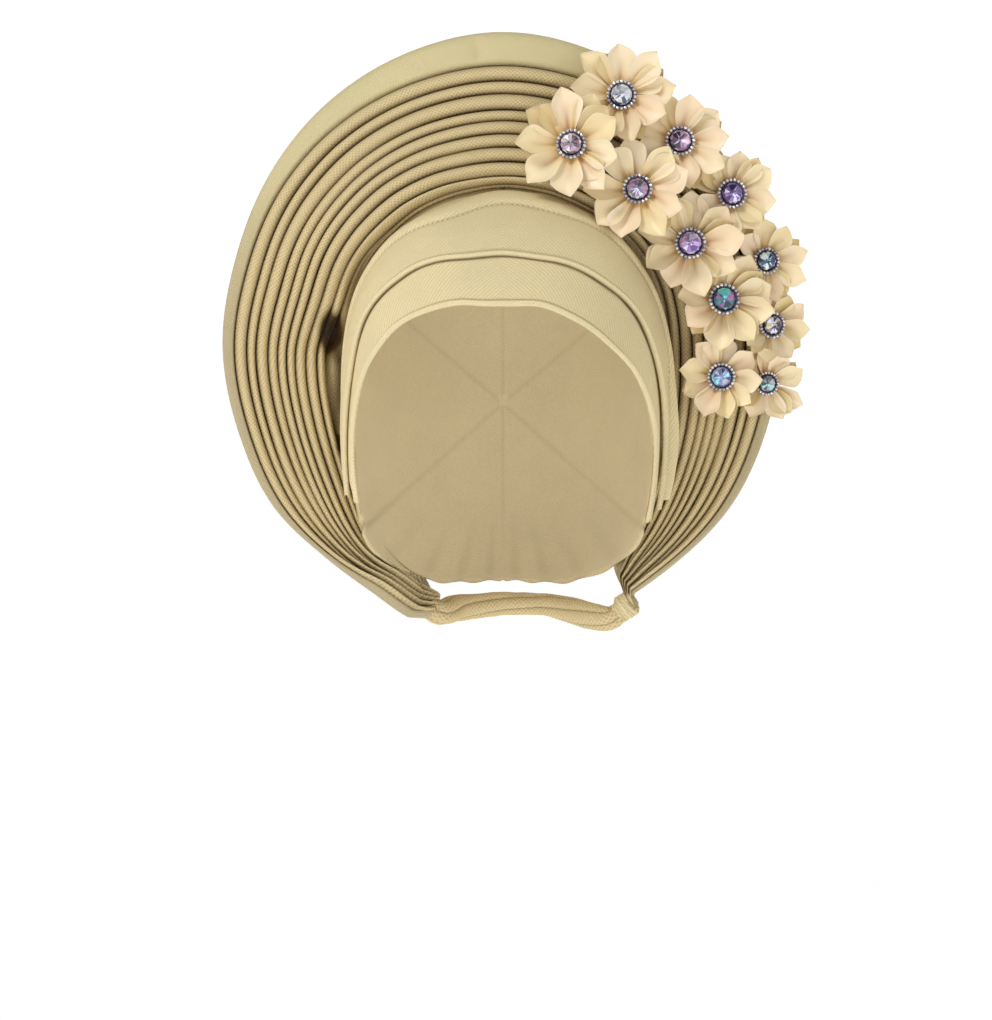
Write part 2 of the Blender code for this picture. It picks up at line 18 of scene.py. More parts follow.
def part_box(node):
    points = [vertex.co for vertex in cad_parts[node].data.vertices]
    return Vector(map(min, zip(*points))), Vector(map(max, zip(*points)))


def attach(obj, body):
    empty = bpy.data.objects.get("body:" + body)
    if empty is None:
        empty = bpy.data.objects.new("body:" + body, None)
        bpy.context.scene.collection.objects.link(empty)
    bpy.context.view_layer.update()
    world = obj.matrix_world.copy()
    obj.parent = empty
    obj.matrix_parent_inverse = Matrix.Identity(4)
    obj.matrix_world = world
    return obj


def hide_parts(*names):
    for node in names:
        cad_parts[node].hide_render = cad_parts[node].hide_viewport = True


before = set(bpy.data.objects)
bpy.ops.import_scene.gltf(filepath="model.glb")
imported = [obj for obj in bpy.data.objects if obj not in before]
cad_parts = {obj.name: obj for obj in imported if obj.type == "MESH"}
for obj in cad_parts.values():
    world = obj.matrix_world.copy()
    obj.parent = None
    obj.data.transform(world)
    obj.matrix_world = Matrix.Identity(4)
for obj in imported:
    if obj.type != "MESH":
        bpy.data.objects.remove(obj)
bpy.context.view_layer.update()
MM = 0.001

# %% [markdown]
# ## Camera, floor and light
#
# The tie is looked at from straight ahead through a long lens, which keeps its round outline true. It hangs
# over a round floor of backlit white paper that bends up into a low wall, so there is no horizon line and
# the ground is white from every side. Large soft lamps light cloth best: the folds then shade gently and
# their creases stay dark, because little light reaches into them.

# %% Camera
CAMERA_DISTANCE = 4.0
PIXEL = 0.46 * MM
IMAGE_HEIGHT = 1020
AIM = Vector((-3.2 * MM, 0.0, -50.6 * MM))
FRONT_OF_FAN = 0.02
camera = bpy.data.objects.new("camera", bpy.data.cameras.new("camera"))
camera.location = AIM + Vector((0.0, -CAMERA_DISTANCE, 0.0))
camera.rotation_euler = (math.radians(90), 0.0, 0.0)
camera.data.sensor_width = 36.0
camera.data.lens = 36.0 * (CAMERA_DISTANCE - FRONT_OF_FAN) / (IMAGE_HEIGHT * PIXEL)
camera.data.clip_end = 30.0
bpy.context.scene.collection.objects.link(camera)
bpy.context.scene.camera = camera
print("lens in mm:", round(camera.data.lens, 1))

# %% Floor that rises into a glowing paper wall all round
FLOOR_HEIGHT, BOWL_RADIUS, BOWL_BEND, BOWL_TOP = -0.50, 6.0, 1.6, 1.7
PAPER_GLOW = 0.50


def studio_bowl():
    """A round floor that bends up into a low wall, open at the top."""
    line = [(0.0, FLOOR_HEIGHT), (BOWL_RADIUS - BOWL_BEND, FLOOR_HEIGHT)]
    for k in range(1, 13):
        turn = math.radians(90 * k / 12)
        inwards, upwards = BOWL_BEND * (1 - math.sin(turn)), BOWL_BEND * (1 - math.cos(turn))
        line.append((BOWL_RADIUS - inwards, FLOOR_HEIGHT + upwards))
    line.append((BOWL_RADIUS, BOWL_TOP))
    cage = bmesh.new()
    corners = [cage.verts.new((across, 0.0, up)) for across, up in line]
    edges = [cage.edges.new(pair) for pair in zip(corners, corners[1:])]
    bmesh.ops.spin(cage, geom=corners + edges, angle=2 * math.pi, steps=96, axis=(0, 0, 1), cent=(0, 0, 0))
    bmesh.ops.remove_doubles(cage, verts=cage.verts, dist=0.5 * MM)
    mesh = bpy.data.meshes.new("studio_bowl")
    cage.to_mesh(mesh)
    cage.free()
    mesh.shade_smooth()
    bowl = bpy.data.objects.new("studio_bowl", mesh)
    bpy.context.scene.collection.objects.link(bowl)
    paper = bpy.data.materials.new("backlit white paper")
    paper.use_nodes = True
    shader = paper.node_tree.nodes["Principled BSDF"]
    shader.inputs["Base Color"].default_value = (0.93, 0.93, 0.93, 1.0)
    shader.inputs["Roughness"].default_value = 0.9
    shader.inputs["Emission Color"].default_value = (1.0, 1.0, 1.0, 1.0)
    shader.inputs["Emission Strength"].default_value = PAPER_GLOW
    mesh.materials.append(paper)
    return bowl


studio_bowl()

# %% Soft lamps and a bright room
LAMPS = (
    # name, place, size in metres, watts
    ("key", (-1.7, -2.2, 2.6), 1.1, 64.0),
    ("fill", (2.2, -2.6, 0.7), 2.0, 5.0),
    ("back", (1.4, 2.4, 1.9), 1.4, 24.0),
)
ROOM_LIGHT = 0.20


def make_lamp(name, place, size, watts):
    """A square soft lamp that looks at the tie."""
    data = bpy.data.lights.new(name, "AREA")
    data.size = size
    data.energy = watts
    lamp = bpy.data.objects.new(name, data)
    lamp.location = place
    lamp.rotation_euler = (AIM - Vector(place)).to_track_quat("-Z", "Y").to_euler()
    bpy.context.scene.collection.objects.link(lamp)


for lamp_row in LAMPS:
    make_lamp(*lamp_row)
room = bpy.data.worlds.new("bright room")
room.use_nodes = True
room.node_tree.nodes["Background"].inputs["Color"].default_value = (1.0, 1.0, 1.0, 1.0)
room.node_tree.nodes["Background"].inputs["Strength"].default_value = ROOM_LIGHT
bpy.context.scene.world = room
bpy.context.scene.view_settings.view_transform = "Standard"

# %% [markdown]
# ## The tie's own measures
#
# The CAD part's named sizes are written again here, so that a finer mesh can follow its form. The tables
# are its tables too, but the bands' edges, the fan's sections and the pleats' widths were set closer to
# the real tie here, by a few millimetres at most places. A place on the head is given by a bearing round
# the face, a turn back from the nose, and a lift off the scalp.

# %% Head, bands and fan
HEAD_HALF_WIDTH, HEAD_CROWN, HEAD_BELOW = 70.5 * MM, 103.0 * MM, 110.0 * MM
HEAD_FRONT, HEAD_REAR, HEAD_CENTRE_Y, HEAD_FULLNESS = 91.0 * MM, 98.0 * MM, 5.0 * MM, 0.08
CAP_WALL, BROW_CLOTH, CROWN_CLOTH, CLOTH_REST = 1.2 * MM, 1.4 * MM, 1.6 * MM, 0.5 * MM
CROWN_FLARE = 8.0 * MM
CAP_SET_BACK, BROW_TUCK, CROWN_STEP = 2.5, 5.0, 8.0
FAN_CENTRE_Z, FAN_REACH, FAN_SET_BACK = 30.0 * MM, 139.2 * MM, 14.0 * MM
FAN_LEAN, FAN_BOW, FAN_WALL, PLEAT_RISE = math.radians(13.0), 15.0 * MM, 2.2 * MM, 3.2 * MM
ROOT_STAND_OFF, SEAT_GAP = 8.0 * MM, 0.3 * MM
BAND_EDGES = (
    # bearing, face edge, crown low edge, crown outer edge, flare
    (-120, 75, 84, 94, 0.00),
    (-100, 71.8, 77, 93, 0.00),
    (-85, 62.5, 70, 90, 0.00),
    (-70, 48.5, 62.8, 82, 0.00),
    (-50, 33, 48.2, 69, 0.00),
    (-25, 25, 38.6, 60.5, 0.00),
    (0, 23.4, 37.3, 64.5, 0.00),
    (25, 24.8, 38, 62.8, 0.00),
    (50, 30, 45.8, 69.5, 0.15),
    (70, 42, 61.5, 80, 0.45),
    (85, 59, 73.5, 84, 0.75),
    (100, 74.5, 82, 88, 1.00),
    (120, 79.5, 86, 92, 0.55),
)
NAPE_EDGE = ((120, 88), (130, 104), (140, 116), (160, 126), (180, 129))
FAN_SECTIONS = (
    # angle, reach, root bearing, root turn, lift, hollow, bow, rise, top
    (-161, 0.992, -145, 121, 0.90, 0.05, 0.15, 0.70, 0.0),
    (-152, 0.960, -136, 117, 0.80, 0.06, 0.30, 0.85, 0.0),
    (-140, 0.949, -124, 112, 0.50, 0.08, 0.50, 0.95, 0.0),
    (-126, 0.955, -108, 107, 0.12, 0.12, 0.75, 1.00, 0.0),
    (-110, 0.940, -92, 104, 0.10, 0.20, 1.00, 1.00, 0.0),
    (-92, 0.936, -77, 100, 0.05, 0.215, 1.00, 1.00, 0.0),
    (-74, 0.926, -62, 90, 0.05, 0.07, 0.80, 1.00, 0.1),
    (-56, 0.937, -46, 72, 0.05, 0.01, 0.55, 1.00, 0.35),
    (-38, 0.960, -31, 67, 0.05, 0.005, 0.42, 1.00, 0.65),
    (-19, 0.983, -15, 67, 0.05, 0.005, 0.40, 1.00, 0.9),
    (0, 1.000, 0, 69, 0.05, 0.005, 0.40, 1.00, 1.0),
    (19, 0.983, 15, 68, 0.05, 0.005, 0.40, 1.00, 0.9),
    (38, 0.960, 31, 68, 0.05, 0.005, 0.42, 1.00, 0.65),
    (56, 0.937, 46, 76, 0.05, 0.02, 0.50, 1.00, 0.35),
    (74, 0.926, 62, 90, 0.05, 0.10, 0.60, 1.00, 0.1),
    (92, 0.926, 77, 99, 0.05, 0.14, 0.65, 1.00, 0.0),
    (110, 0.935, 92, 103, 0.10, 0.14, 0.65, 1.00, 0.0),
    (126, 0.950, 107, 107, 0.12, 0.12, 0.60, 1.00, 0.0),
    (140, 0.953, 122, 111, 0.35, 0.08, 0.45, 0.80, 0.0),
    (147, 0.958, 128, 112, 0.45, 0.07, 0.32, 0.80, 0.0),
    (152.5, 0.966, 133, 112, 0.56, 0.05, 0.15, 0.70, 0.0),
)
PLEATS = (
    # top, side
    (0.046, 0.086),
    (0.0905, 0.109),
    (0.096, 0.104),
    (0.088, 0.085),
    (0.086, 0.087),
    (0.071, 0.093),
    (0.109, 0.118),
    (0.083, 0.087),
    (0.1035, 0.122),
)


def between(rows, key):
    """The row of a table at a key between its rows, by a smooth curve through them."""
    last = len(rows) - 1
    low = 0
    while low < last - 1 and rows[low + 1][0] < key:
        low += 1
    start, end = rows[low], rows[low + 1]
    span = end[0] - start[0]
    part = min(1.0, max(0.0, (key - start[0]) / span))
    square, cube = part * part, part * part * part
    values = []
    for column in range(1, len(start)):
        step = end[column] - start[column]
        slope_in = slope_out = step
        if low > 0:
            before = rows[low - 1]
            slope_in = span * (end[column] - before[column]) / (end[0] - before[0])
        if low + 1 < last:
            after = rows[low + 2]
            slope_out = span * (after[column] - start[column]) / (after[0] - start[0])
        values.append(
            start[column]
            + (part - 2 * square + cube) * slope_in
            + (3 * square - 2 * cube) * step
            + (cube - square) * slope_out
        )
    return values


def on_head(bearing, turn, lift):
    """Point off the head hollow: bearing and turn in degrees, lift in metres."""
    around, back = math.radians(bearing), math.radians(turn)
    upright = HEAD_CROWN if math.cos(around) > 0 else HEAD_BELOW
    depth = HEAD_FRONT if math.cos(back) > 0 else HEAD_REAR
    fuller = 1 + HEAD_FULLNESS * math.sin(2 * around) ** 2
    return Vector((
        (HEAD_HALF_WIDTH + lift) * math.sin(around) * math.sin(back) * fuller,
        HEAD_CENTRE_Y - (depth + lift) * math.cos(back),
        (upright + lift) * math.cos(around) * math.sin(back) * fuller,
    ))


def fan_frame(angle):
    """Root point, rim point and shape shares of the fan's section at an angle."""
    reach, bearing, turn, lift, hollow, bow, rise, top = between(FAN_SECTIONS, angle)
    root = on_head(bearing, turn, CAP_WALL + SEAT_GAP + ROOT_STAND_OFF * lift)
    foot = on_head(bearing, turn, CAP_WALL)
    way = math.radians(angle)
    up = FAN_REACH * reach * math.cos(way)
    rim = Vector((
        FAN_REACH * reach * math.sin(way),
        FAN_SET_BACK - math.tan(FAN_LEAN) * up,
        FAN_CENTRE_Z + up,
    ))
    return root, rim, foot, hollow, bow * FAN_BOW, rise, top


def fan_axes(angle):
    """Direction across the fan's width, its front normal and its run at an angle."""
    root, rim = fan_frame(angle)[:2]
    nearby = 1.0
    before = fan_frame(max(FAN_SECTIONS[0][0], angle - nearby))
    after = fan_frame(min(FAN_SECTIONS[-1][0], angle + nearby))
    run = ((after[0] + after[1]) - (before[0] + before[1])).normalized()
    across = rim - root
    run = (run - across * (run.dot(across) / across.length_squared)).normalized()
    front = across.cross(run).normalized()
    if front.y > 0:
        front.negate()
    return across, front, run


print("fan reaches", round(FAN_REACH / MM, 1), "mm, head is", round(2 * HEAD_HALF_WIDTH / MM, 1), "mm wide")

# %% [markdown]
# ## Small helpers for meshes and node trees
#
# A lofted cloth is a grid of points: one ring for each station along its length. Its UV map is measured
# in metres along and across the cloth, so a weave drawn on it has its true size everywhere. Node trees,
# for shapes and for finishes, are built by one short helper that adds a node and wires its inputs.

# %% Helpers
def new_piece(name, mesh, *finishes):
    """Put a mesh in the scene as one named piece."""
    for finish in finishes:
        mesh.materials.append(finish)
    piece = bpy.data.objects.new(name, mesh)
    bpy.context.scene.collection.objects.link(piece)
    return piece


def lofted(name, grid, along, across, marks):
    """Mesh through rings of points. along has a value for each face strip of a station, across for each
    point, both in metres for the UV map, and marks holds other values for each point."""
    stations, around = grid.shape[:2]
    index = np.arange(stations * around).reshape(stations, around)
    following = np.roll(index, -1, axis=1)
    quads = np.stack([index[:-1], following[:-1], following[1:], index[1:]], axis=-1).reshape(-1, 4)
    mesh = bpy.data.meshes.new(name)
    mesh.from_pydata(grid.reshape(-1, 3).tolist(), [], quads.tolist())
    ahead = np.roll(across, -1, axis=1)
    ahead[:, -1] = across[:, -1] + np.linalg.norm(grid[:, 0] - grid[:, -1], axis=1)
    u = np.stack([along[:-1], along[:-1], along[1:], along[1:]], axis=-1)
    v = np.stack([across[:-1], ahead[:-1], ahead[1:], across[1:]], axis=-1)
    layer = mesh.uv_layers.new(name="UVMap")
    layer.uv.foreach_set("vector", np.stack([u, v], axis=-1).astype(np.float32).ravel())
    for key, values in marks.items():
        kind = "FLOAT_VECTOR" if values.ndim == 3 else "FLOAT"
        field = "vector" if values.ndim == 3 else "value"
        mesh.attributes.new(key, kind, "POINT").data.foreach_set(field, values.astype(np.float32).ravel())
    cage = bmesh.new()
    cage.from_mesh(mesh)
    cage.verts.ensure_lookup_table()
    for ring in (index[0][::-1], index[-1]):
        lid = cage.faces.new([cage.verts[i] for i in ring])
        bmesh.ops.triangulate(cage, faces=[lid])
    bmesh.ops.recalc_face_normals(cage, faces=cage.faces[:])
    cage.to_mesh(mesh)
    cage.free()
    mesh.shade_smooth()
    return mesh


def closed_up(cage, name):
    """Turn a bmesh into a mesh."""
    mesh = bpy.data.meshes.new(name)
    cage.to_mesh(mesh)
    cage.free()
    return mesh


def run_lengths(grid):
    """Length run so far along each line of a grid, station by station."""
    steps = np.linalg.norm(np.diff(grid, axis=0), axis=2)
    return np.vstack([np.zeros(grid.shape[1]), np.cumsum(steps, axis=0)])


def ring_lengths(grid):
    """Length run so far round each ring of a grid."""
    steps = np.linalg.norm(np.diff(grid, axis=1), axis=2)
    return np.hstack([np.zeros((grid.shape[0], 1)), np.cumsum(steps, axis=1)])


def add(tree, kind, inputs=None, **settings):
    """One node with its settings. An input takes a value or another node's output."""
    made = tree.nodes.new(kind)
    for key, value in settings.items():
        setattr(made, key, value)
    for key, value in (inputs or {}).items():
        if isinstance(value, bpy.types.NodeSocket):
            tree.links.new(value, made.inputs[key])
        else:
            made.inputs[key].default_value = value
    return made


def maths(tree, operation, *values):
    """Output of one Math node."""
    return add(tree, "ShaderNodeMath", dict(enumerate(values)), operation=operation).outputs[0]


def product(tree, first, *others):
    """Several values multiplied."""
    for value in others:
        first = maths(tree, "MULTIPLY", first, value)
    return first


def bell(tree, value):
    """1 where a value is 0, falling off smoothly to both sides."""
    return maths(tree, "EXPONENT", product(tree, product(tree, value, value), -1.0))


def scaled(tree, arrow, size):
    """A vector made longer or shorter."""
    return add(tree, "ShaderNodeVectorMath", {0: arrow, 3: size}, operation="SCALE").outputs[0]


def stretched(tree, value, low, high, to_low=0.0, to_high=1.0, **settings):
    """A value between two limits, stretched to two others."""
    limits = {0: value, 1: low, 2: high, 3: to_low, 4: to_high}
    return add(tree, "ShaderNodeMapRange", limits, **settings).outputs[0]


def named(tree, key, kind="FLOAT"):
    """Value that the mesh carries under a name."""
    return add(tree, "GeometryNodeInputNamedAttribute", {"Name": key}, data_type=kind).outputs[0]


def vector(tree, x=0.0, y=0.0, z=0.0):
    """Three values as one vector."""
    return add(tree, "ShaderNodeCombineXYZ", {0: x, 1: y, 2: z}).outputs[0]


def copies(tree, points, shape, **inputs):
    """Copies of a shape on points."""
    return add(
        tree, "GeometryNodeInstanceOnPoints", {"Points": points, "Instance": shape, **inputs}
    ).outputs[0]


def shape_tree(name, **inputs):
    """A new Geometry Nodes tree with named inputs, and its input node."""
    tree = bpy.data.node_groups.new(name, "GeometryNodeTree")
    tree.interface.new_socket("Geometry", in_out="INPUT", socket_type="NodeSocketGeometry")
    tree.interface.new_socket("Geometry", in_out="OUTPUT", socket_type="NodeSocketGeometry")
    for key, kind in inputs.items():
        tree.interface.new_socket(key.replace("_", " "), in_out="INPUT", socket_type="NodeSocket" + kind)
    return tree, tree.nodes.new("NodeGroupInput").outputs


def end_tree(tree, geometry, finish):
    """Realize the copies, give them their finish and hand the shape on."""
    real = add(tree, "GeometryNodeRealizeInstances", {0: geometry}).outputs[0]
    painted = add(tree, "GeometryNodeSetMaterial", {"Geometry": real, "Material": finish}).outputs[0]
    add(tree, "NodeGroupOutput", {0: painted})


def grown(piece, tree, **inputs):
    """Run a Geometry Nodes tree on a piece and keep its result as a plain mesh."""
    modifier = piece.modifiers.new(tree.name, "NODES")
    modifier.node_group = tree
    for item in tree.interface.items_tree:
        key = item.name.replace(" ", "_")
        if item.in_out == "INPUT" and key in inputs:
            modifier[item.identifier] = inputs[key]
    graph = bpy.context.evaluated_depsgraph_get()
    mesh = bpy.data.meshes.new_from_object(
        piece.evaluated_get(graph), preserve_all_data_layers=True, depsgraph=graph
    )
    piece.modifiers.remove(modifier)
    mesh.name = piece.data.name
    piece.data = mesh
    return piece


def triangles(piece):
    """How many triangles a piece has."""
    return sum(len(face.vertices) - 2 for face in piece.data.polygons)

# %% [markdown]
# ## Cloth finishes
#
# Woven cloth could be a picture of cloth, but a picture has one size and shows its repeats. Here the
# weave is arithmetic on the UV map, in metres: two crossed waves make a bird's-eye of small dots, and
# one slanted wave makes twill. A "crease" value on the mesh deepens the colour where folds meet, under
# edges and in hollows: this is painted shade, which stands in for the shadow that falls there.

# %% Cloth finishes
def tone(red, green, blue):
    """A colour picked on screen, 0 to 255, as the linear colour that the shader wants."""
    linear = [((c / 255 + 0.055) / 1.055) ** 2.4 if c > 10 else c / 3294 for c in (red, green, blue)]
    return (*linear, 1.0)


def new_finish(name, **values):
    """A new finish, its node tree and its shader, with the shader's own sockets set."""
    finish = bpy.data.materials.new(name)
    finish.use_nodes = True
    shader = finish.node_tree.nodes["Principled BSDF"]
    for key, value in values.items():
        shader.inputs[key.replace("_", " ")].default_value = value
    return finish, finish.node_tree, shader


def wave_on(tree, value, wavelength):
    """Sine of a length, one turn for each wavelength."""
    return maths(tree, "SINE", maths(tree, "MULTIPLY", value, 2 * math.pi / wavelength))


def mixed(tree, share, first, second, blend="MIX"):
    """Two colours mixed."""
    mix = add(tree, "ShaderNodeMix", {0: share, 6: first, 7: second}, data_type="RGBA", blend_type=blend)
    return mix.outputs[2]


# Heights where the painted shade of the lower cloth starts and is full, and the colour of the painted
# shade deep in a hollow
LOW_SHADE_FROM, LOW_SHADE_FULL = 135 * MM, 25 * MM
PAINTED_HOLLOW_SHADE = tone(40, 24, 6)


def cloth(name, light, dark, crease, weave, roughness=0.85, sheen=0.12, relief=0.35, lower=None):
    """A woven finish. weave is ("dots", along, across) or ("twill", wavelength, slant in degrees). crease
    is the colour of the painted shade in creases. lower is a painted shade, multiplied in from the brow
    down, that darkens the cloth towards the bottom."""
    finish, tree, shader = new_finish(
        name, Roughness=roughness, Sheen_Weight=sheen, Sheen_Roughness=0.5, Sheen_Tint=tone(240, 214, 160),
        Specular_IOR_Level=0.25,
    )
    uv = add(tree, "ShaderNodeUVMap", uv_map="UVMap").outputs[0]
    split = add(tree, "ShaderNodeSeparateXYZ", {0: uv})
    along, across = split.outputs[0], split.outputs[1]
    if weave[0] == "dots":
        pattern = maths(tree, "MULTIPLY", wave_on(tree, along, weave[1]), wave_on(tree, across, weave[2]))
    else:
        slant = math.radians(weave[2])
        mirrored = maths(tree, "ABSOLUTE", along)
        upwards = maths(tree, "MULTIPLY", across, math.sin(slant))
        skewed = maths(tree, "MULTIPLY_ADD", mirrored, math.cos(slant), upwards)
        pattern = wave_on(tree, skewed, weave[1])
    place = add(tree, "ShaderNodeTexCoord").outputs["Object"]
    threads = add(tree, "ShaderNodeTexNoise", {"Vector": place, "Scale": 2600.0, "Detail": 2.0}).outputs[0]
    uneven = {"Vector": place, "Scale": 38.0, "Detail": 4.0, "Roughness": 0.6}
    patches = add(tree, "ShaderNodeTexNoise", uneven).outputs[0]
    share = stretched(tree, pattern, -0.15, 0.75, interpolation_type="SMOOTHSTEP")
    mottled = maths(tree, "MULTIPLY", share, stretched(tree, patches, 0.3, 0.7, 0.45, 1.0))
    colour = mixed(tree, mottled, light, dark)
    speck = stretched(tree, threads, 0.3, 0.7, 0.88, 1.10)
    shade = stretched(tree, patches, 0.25, 0.75, 0.94, 1.05)
    both = maths(tree, "MULTIPLY", speck, shade)
    colour = mixed(tree, 1.0, colour, vector(tree, both, both, both), "MULTIPLY")
    # Painted shade: the cloth darkens towards the bottom, from the brow down
    if lower:
        up = add(tree, "ShaderNodeSeparateXYZ", {0: place}).outputs[2]
        down = stretched(tree, up, LOW_SHADE_FROM, LOW_SHADE_FULL, interpolation_type="SMOOTHSTEP")
        colour = mixed(tree, down, colour, lower, "MULTIPLY")
    # Painted shade: the mesh's crease value mixes in the crease colour
    fold = add(tree, "ShaderNodeAttribute", attribute_name="crease").outputs["Fac"]
    colour = mixed(tree, fold, colour, crease)
    # Painted shade: where the crease value passes 1 the colour goes on to near black, for the painted
    # hollows
    colour = mixed(tree, stretched(tree, fold, 1.0, 1.5), colour, PAINTED_HOLLOW_SHADE)
    tree.links.new(colour, shader.inputs["Base Color"])
    height = maths(tree, "ADD", maths(tree, "MULTIPLY", pattern, -0.6), threads)
    bump = add(tree, "ShaderNodeBump", {"Strength": relief, "Distance": 0.25 * MM, "Height": height})
    tree.links.new(bump.outputs[0], shader.inputs["Normal"])
    return finish


# The third colour of each cloth is the colour of its painted shade in creases
PLEAT_CLOTH = cloth(
    "pleated gold cloth", tone(215, 195, 149), tone(178, 156, 110), tone(80, 56, 10),
    ("dots", 2.0 * MM, 2.3 * MM), relief=0.6,
)
# The rim cloth's lower colour darkens it towards the bottom as painted shade
RIM_CLOTH = cloth(
    "smooth rim cloth", tone(213, 200, 154), tone(194, 178, 130), tone(92, 68, 18),
    ("dots", 1.3 * MM, 1.5 * MM), relief=0.45, lower=(0.74, 0.71, 0.76, 1.0),
)
BAND_CLOTH = cloth(
    "pale gold twill", tone(226, 210, 166), tone(212, 192, 144), tone(92, 66, 16),
    ("twill", 1.4 * MM, 52), relief=0.22,
)
HEM_CLOTH = cloth(
    "rolled hem cloth", tone(230, 214, 172), tone(212, 192, 146), tone(88, 66, 28),
    ("dots", 1.3 * MM, 1.6 * MM), relief=0.3,
)
CAP_CLOTH = cloth(
    "cap cloth", tone(214, 195, 150), tone(190, 168, 122), tone(96, 76, 38),
    ("dots", 1.6 * MM, 2.0 * MM), relief=0.4,
)
LINING_CLOTH = cloth(
    "cap lining", tone(230, 217, 184), tone(218, 202, 166), tone(150, 128, 88), ("twill", 0.9 * MM, 90),
    roughness=0.6, sheen=0.15, relief=0.15,
)
print("finishes:", [m.name for m in bpy.data.materials])

# %% [markdown]
# ## The pleated fan
#
# The real fan is one long cloth, folded lengthwise into rounded pleats and bent round the head. Its shape
# follows a rule, so it is made in two steps. First a smooth sheet is lofted through the sections in the
# table above, and every point is told which fold it belongs to. Then a Geometry Nodes tree pushes the
# points out along the sheet's front: a fold rises steeply from its crease and is round on top. One named
# input makes all the pleats fuller or flatter.

# %% Tree that folds a smooth sheet into pleats
def pleat_tree():
    tree, given = shape_tree(
        "round pleats", Pleat_Height="Float", Roundness="Float", Crease_Depth="Float", Crease_Width="Float",
        Shadow_Width="Float", Wobble="Float",
    )
    rise, deep = named(tree, "rise"), named(tree, "deep")
    part = maths(tree, "FRACT", named(tree, "fold"))
    from_middle = maths(tree, "ABSOLUTE", maths(tree, "MULTIPLY_ADD", part, 2.0, -1.0))
    hump = maths(tree, "SUBTRACT", 1.0, maths(tree, "POWER", from_middle, 2.1))
    tube = maths(tree, "POWER", hump, given["Roundness"])
    from_crease = maths(tree, "SUBTRACT", 1.0, from_middle)
    narrow = maths(tree, "DIVIDE", from_crease, given["Crease Width"])
    notch = bell(tree, narrow)
    up = product(tree, tube, named(tree, "full"), given["Pleat Height"])
    down = product(tree, notch, deep, given["Crease Depth"])
    place = add(tree, "GeometryNodeInputPosition").outputs[0]
    ripple = add(tree, "ShaderNodeTexNoise", {"Vector": place, "Scale": 55.0, "Detail": 2.0}).outputs[0]
    loose = product(tree, maths(tree, "SUBTRACT", ripple, 0.5), given["Wobble"], tube)
    height = product(tree, maths(tree, "ADD", maths(tree, "SUBTRACT", up, down), loose), rise)
    push = scaled(tree, named(tree, "front", "FLOAT_VECTOR"), height)
    moved = add(tree, "GeometryNodeSetPosition", {"Geometry": given["Geometry"], "Offset": push}).outputs[0]
    # Painted shade: a soft band and a narrow dark line at each crease, weaker where the fold is low, plus
    # the painted shade of the hollows
    shadow = bell(tree, maths(tree, "DIVIDE", narrow, given["Shadow Width"]))
    crease_shade = maths(tree, "MULTIPLY_ADD", shadow, 0.42, maths(tree, "MULTIPLY", notch, 0.5))
    raised = maths(tree, "MINIMUM", maths(tree, "MULTIPLY", rise, 2.5), 1.0)
    crease = maths(tree, "ADD", product(tree, crease_shade, deep, raised), named(tree, "shade"))
    marked = add(
        tree, "GeometryNodeStoreNamedAttribute", {"Geometry": moved, "Name": "crease", "Value": crease},
        data_type="FLOAT", domain="POINT",
    ).outputs[0]
    add(tree, "NodeGroupOutput", {0: add(tree, "GeometryNodeRealizeInstances", {0: marked}).outputs[0]})
    return tree


# %% Smooth sheet for the fan
FAN_STEPS = 430
FOLD_STEPS = (0.0, 0.035, 0.09, 0.17, 0.28, 0.40, 0.52, 0.64, 0.76, 0.86, 0.93, 0.975)
RIM_STEPS = (0.0, 0.02, 0.05, 0.10, 0.17, 0.25, 0.35, 0.46, 0.57, 0.67, 0.76, 0.84, 0.91, 0.96, 0.99)
# Height of each fold against the others, from the root out
FOLD_HEIGHTS = (0.85, 0.95, 1.00, 0.92, 0.86, 0.90, 1.02, 1.00, 1.05)
# Hollows between the innermost pleat and the bands: angle, half width in degrees, slower rise of the cloth
POCKETS = ((-90.0, 4.5, 0.18), (-124.0, 7.0, 0.10), (118.0, 10.0, 0.05))
CREASE_CHANGES = (
    # first crease, last crease, angle, half width, depth against the rest
    (3, 6, 113.0, 9.0, 0.22),
    (1, 2, 138.0, 7.0, 1.40),
    (5, 7, -128.0, 8.0, 0.45),
    (6, 8, -147.0, 8.0, 1.50),
    (0, 1, -90.0, 6.0, 1.30),
)
# Spots of painted shade on the fan beside the bands, standing in for the shadow in deep hollows there; the
# mesh has no matching holes
PAINTED_HOLLOWS = (
    # x, z, half width, half height in mm, how dark
    (-79.5, 32.0, 5.6, 10.0, 1.6),
    (-76.0, 6.0, 3.0, 24.0, 0.9),
    (-73.5, -20.0, 3.8, 5.5, 1.6),
)
RIDGES_FROM, RIDGES_OVER, RIDGE_TALL, RIDGE_LOW = 126.0, 24.0, 0.55, 0.85
GATHER_STEPS, GATHER_RISE = 26, 0.22
KNOT_LENGTH = 12.0 * MM
BUNDLE_AT_KNOT, BUNDLE_AT_ROLL = (5.0 * MM, 4.6 * MM), (6.6 * MM, 5.4 * MM)
BUNDLE_INTO_KNOT, BUNDLE_PAST_END = 2.0 * MM, 9.0 * MM
KNOT_SAG = Vector((2.4 * MM, 0.0, -5.0 * MM))
# Width and length in metres of the flat cloth, picked to match the modelled fan's own area
PINCH_ANGLE, PINCH_WIDTH, PINCH_DEPTH = -5.2, 1.1, 1.7 * MM


def rim_height(share, rise):
    """Height of the plain padded rim over the fan's back, at a share of its width."""
    full = FAN_WALL + 0.85 * rise
    if share < 0.22:
        return FAN_WALL + (full - FAN_WALL) * (1 - (1 - share / 0.22) ** 2.6)
    if share < 0.6:
        return full
    return FAN_WALL / 2 + (full - FAN_WALL / 2) * math.sqrt(max(0.0, 1 - ((share - 0.6) / 0.4) ** 2.2))


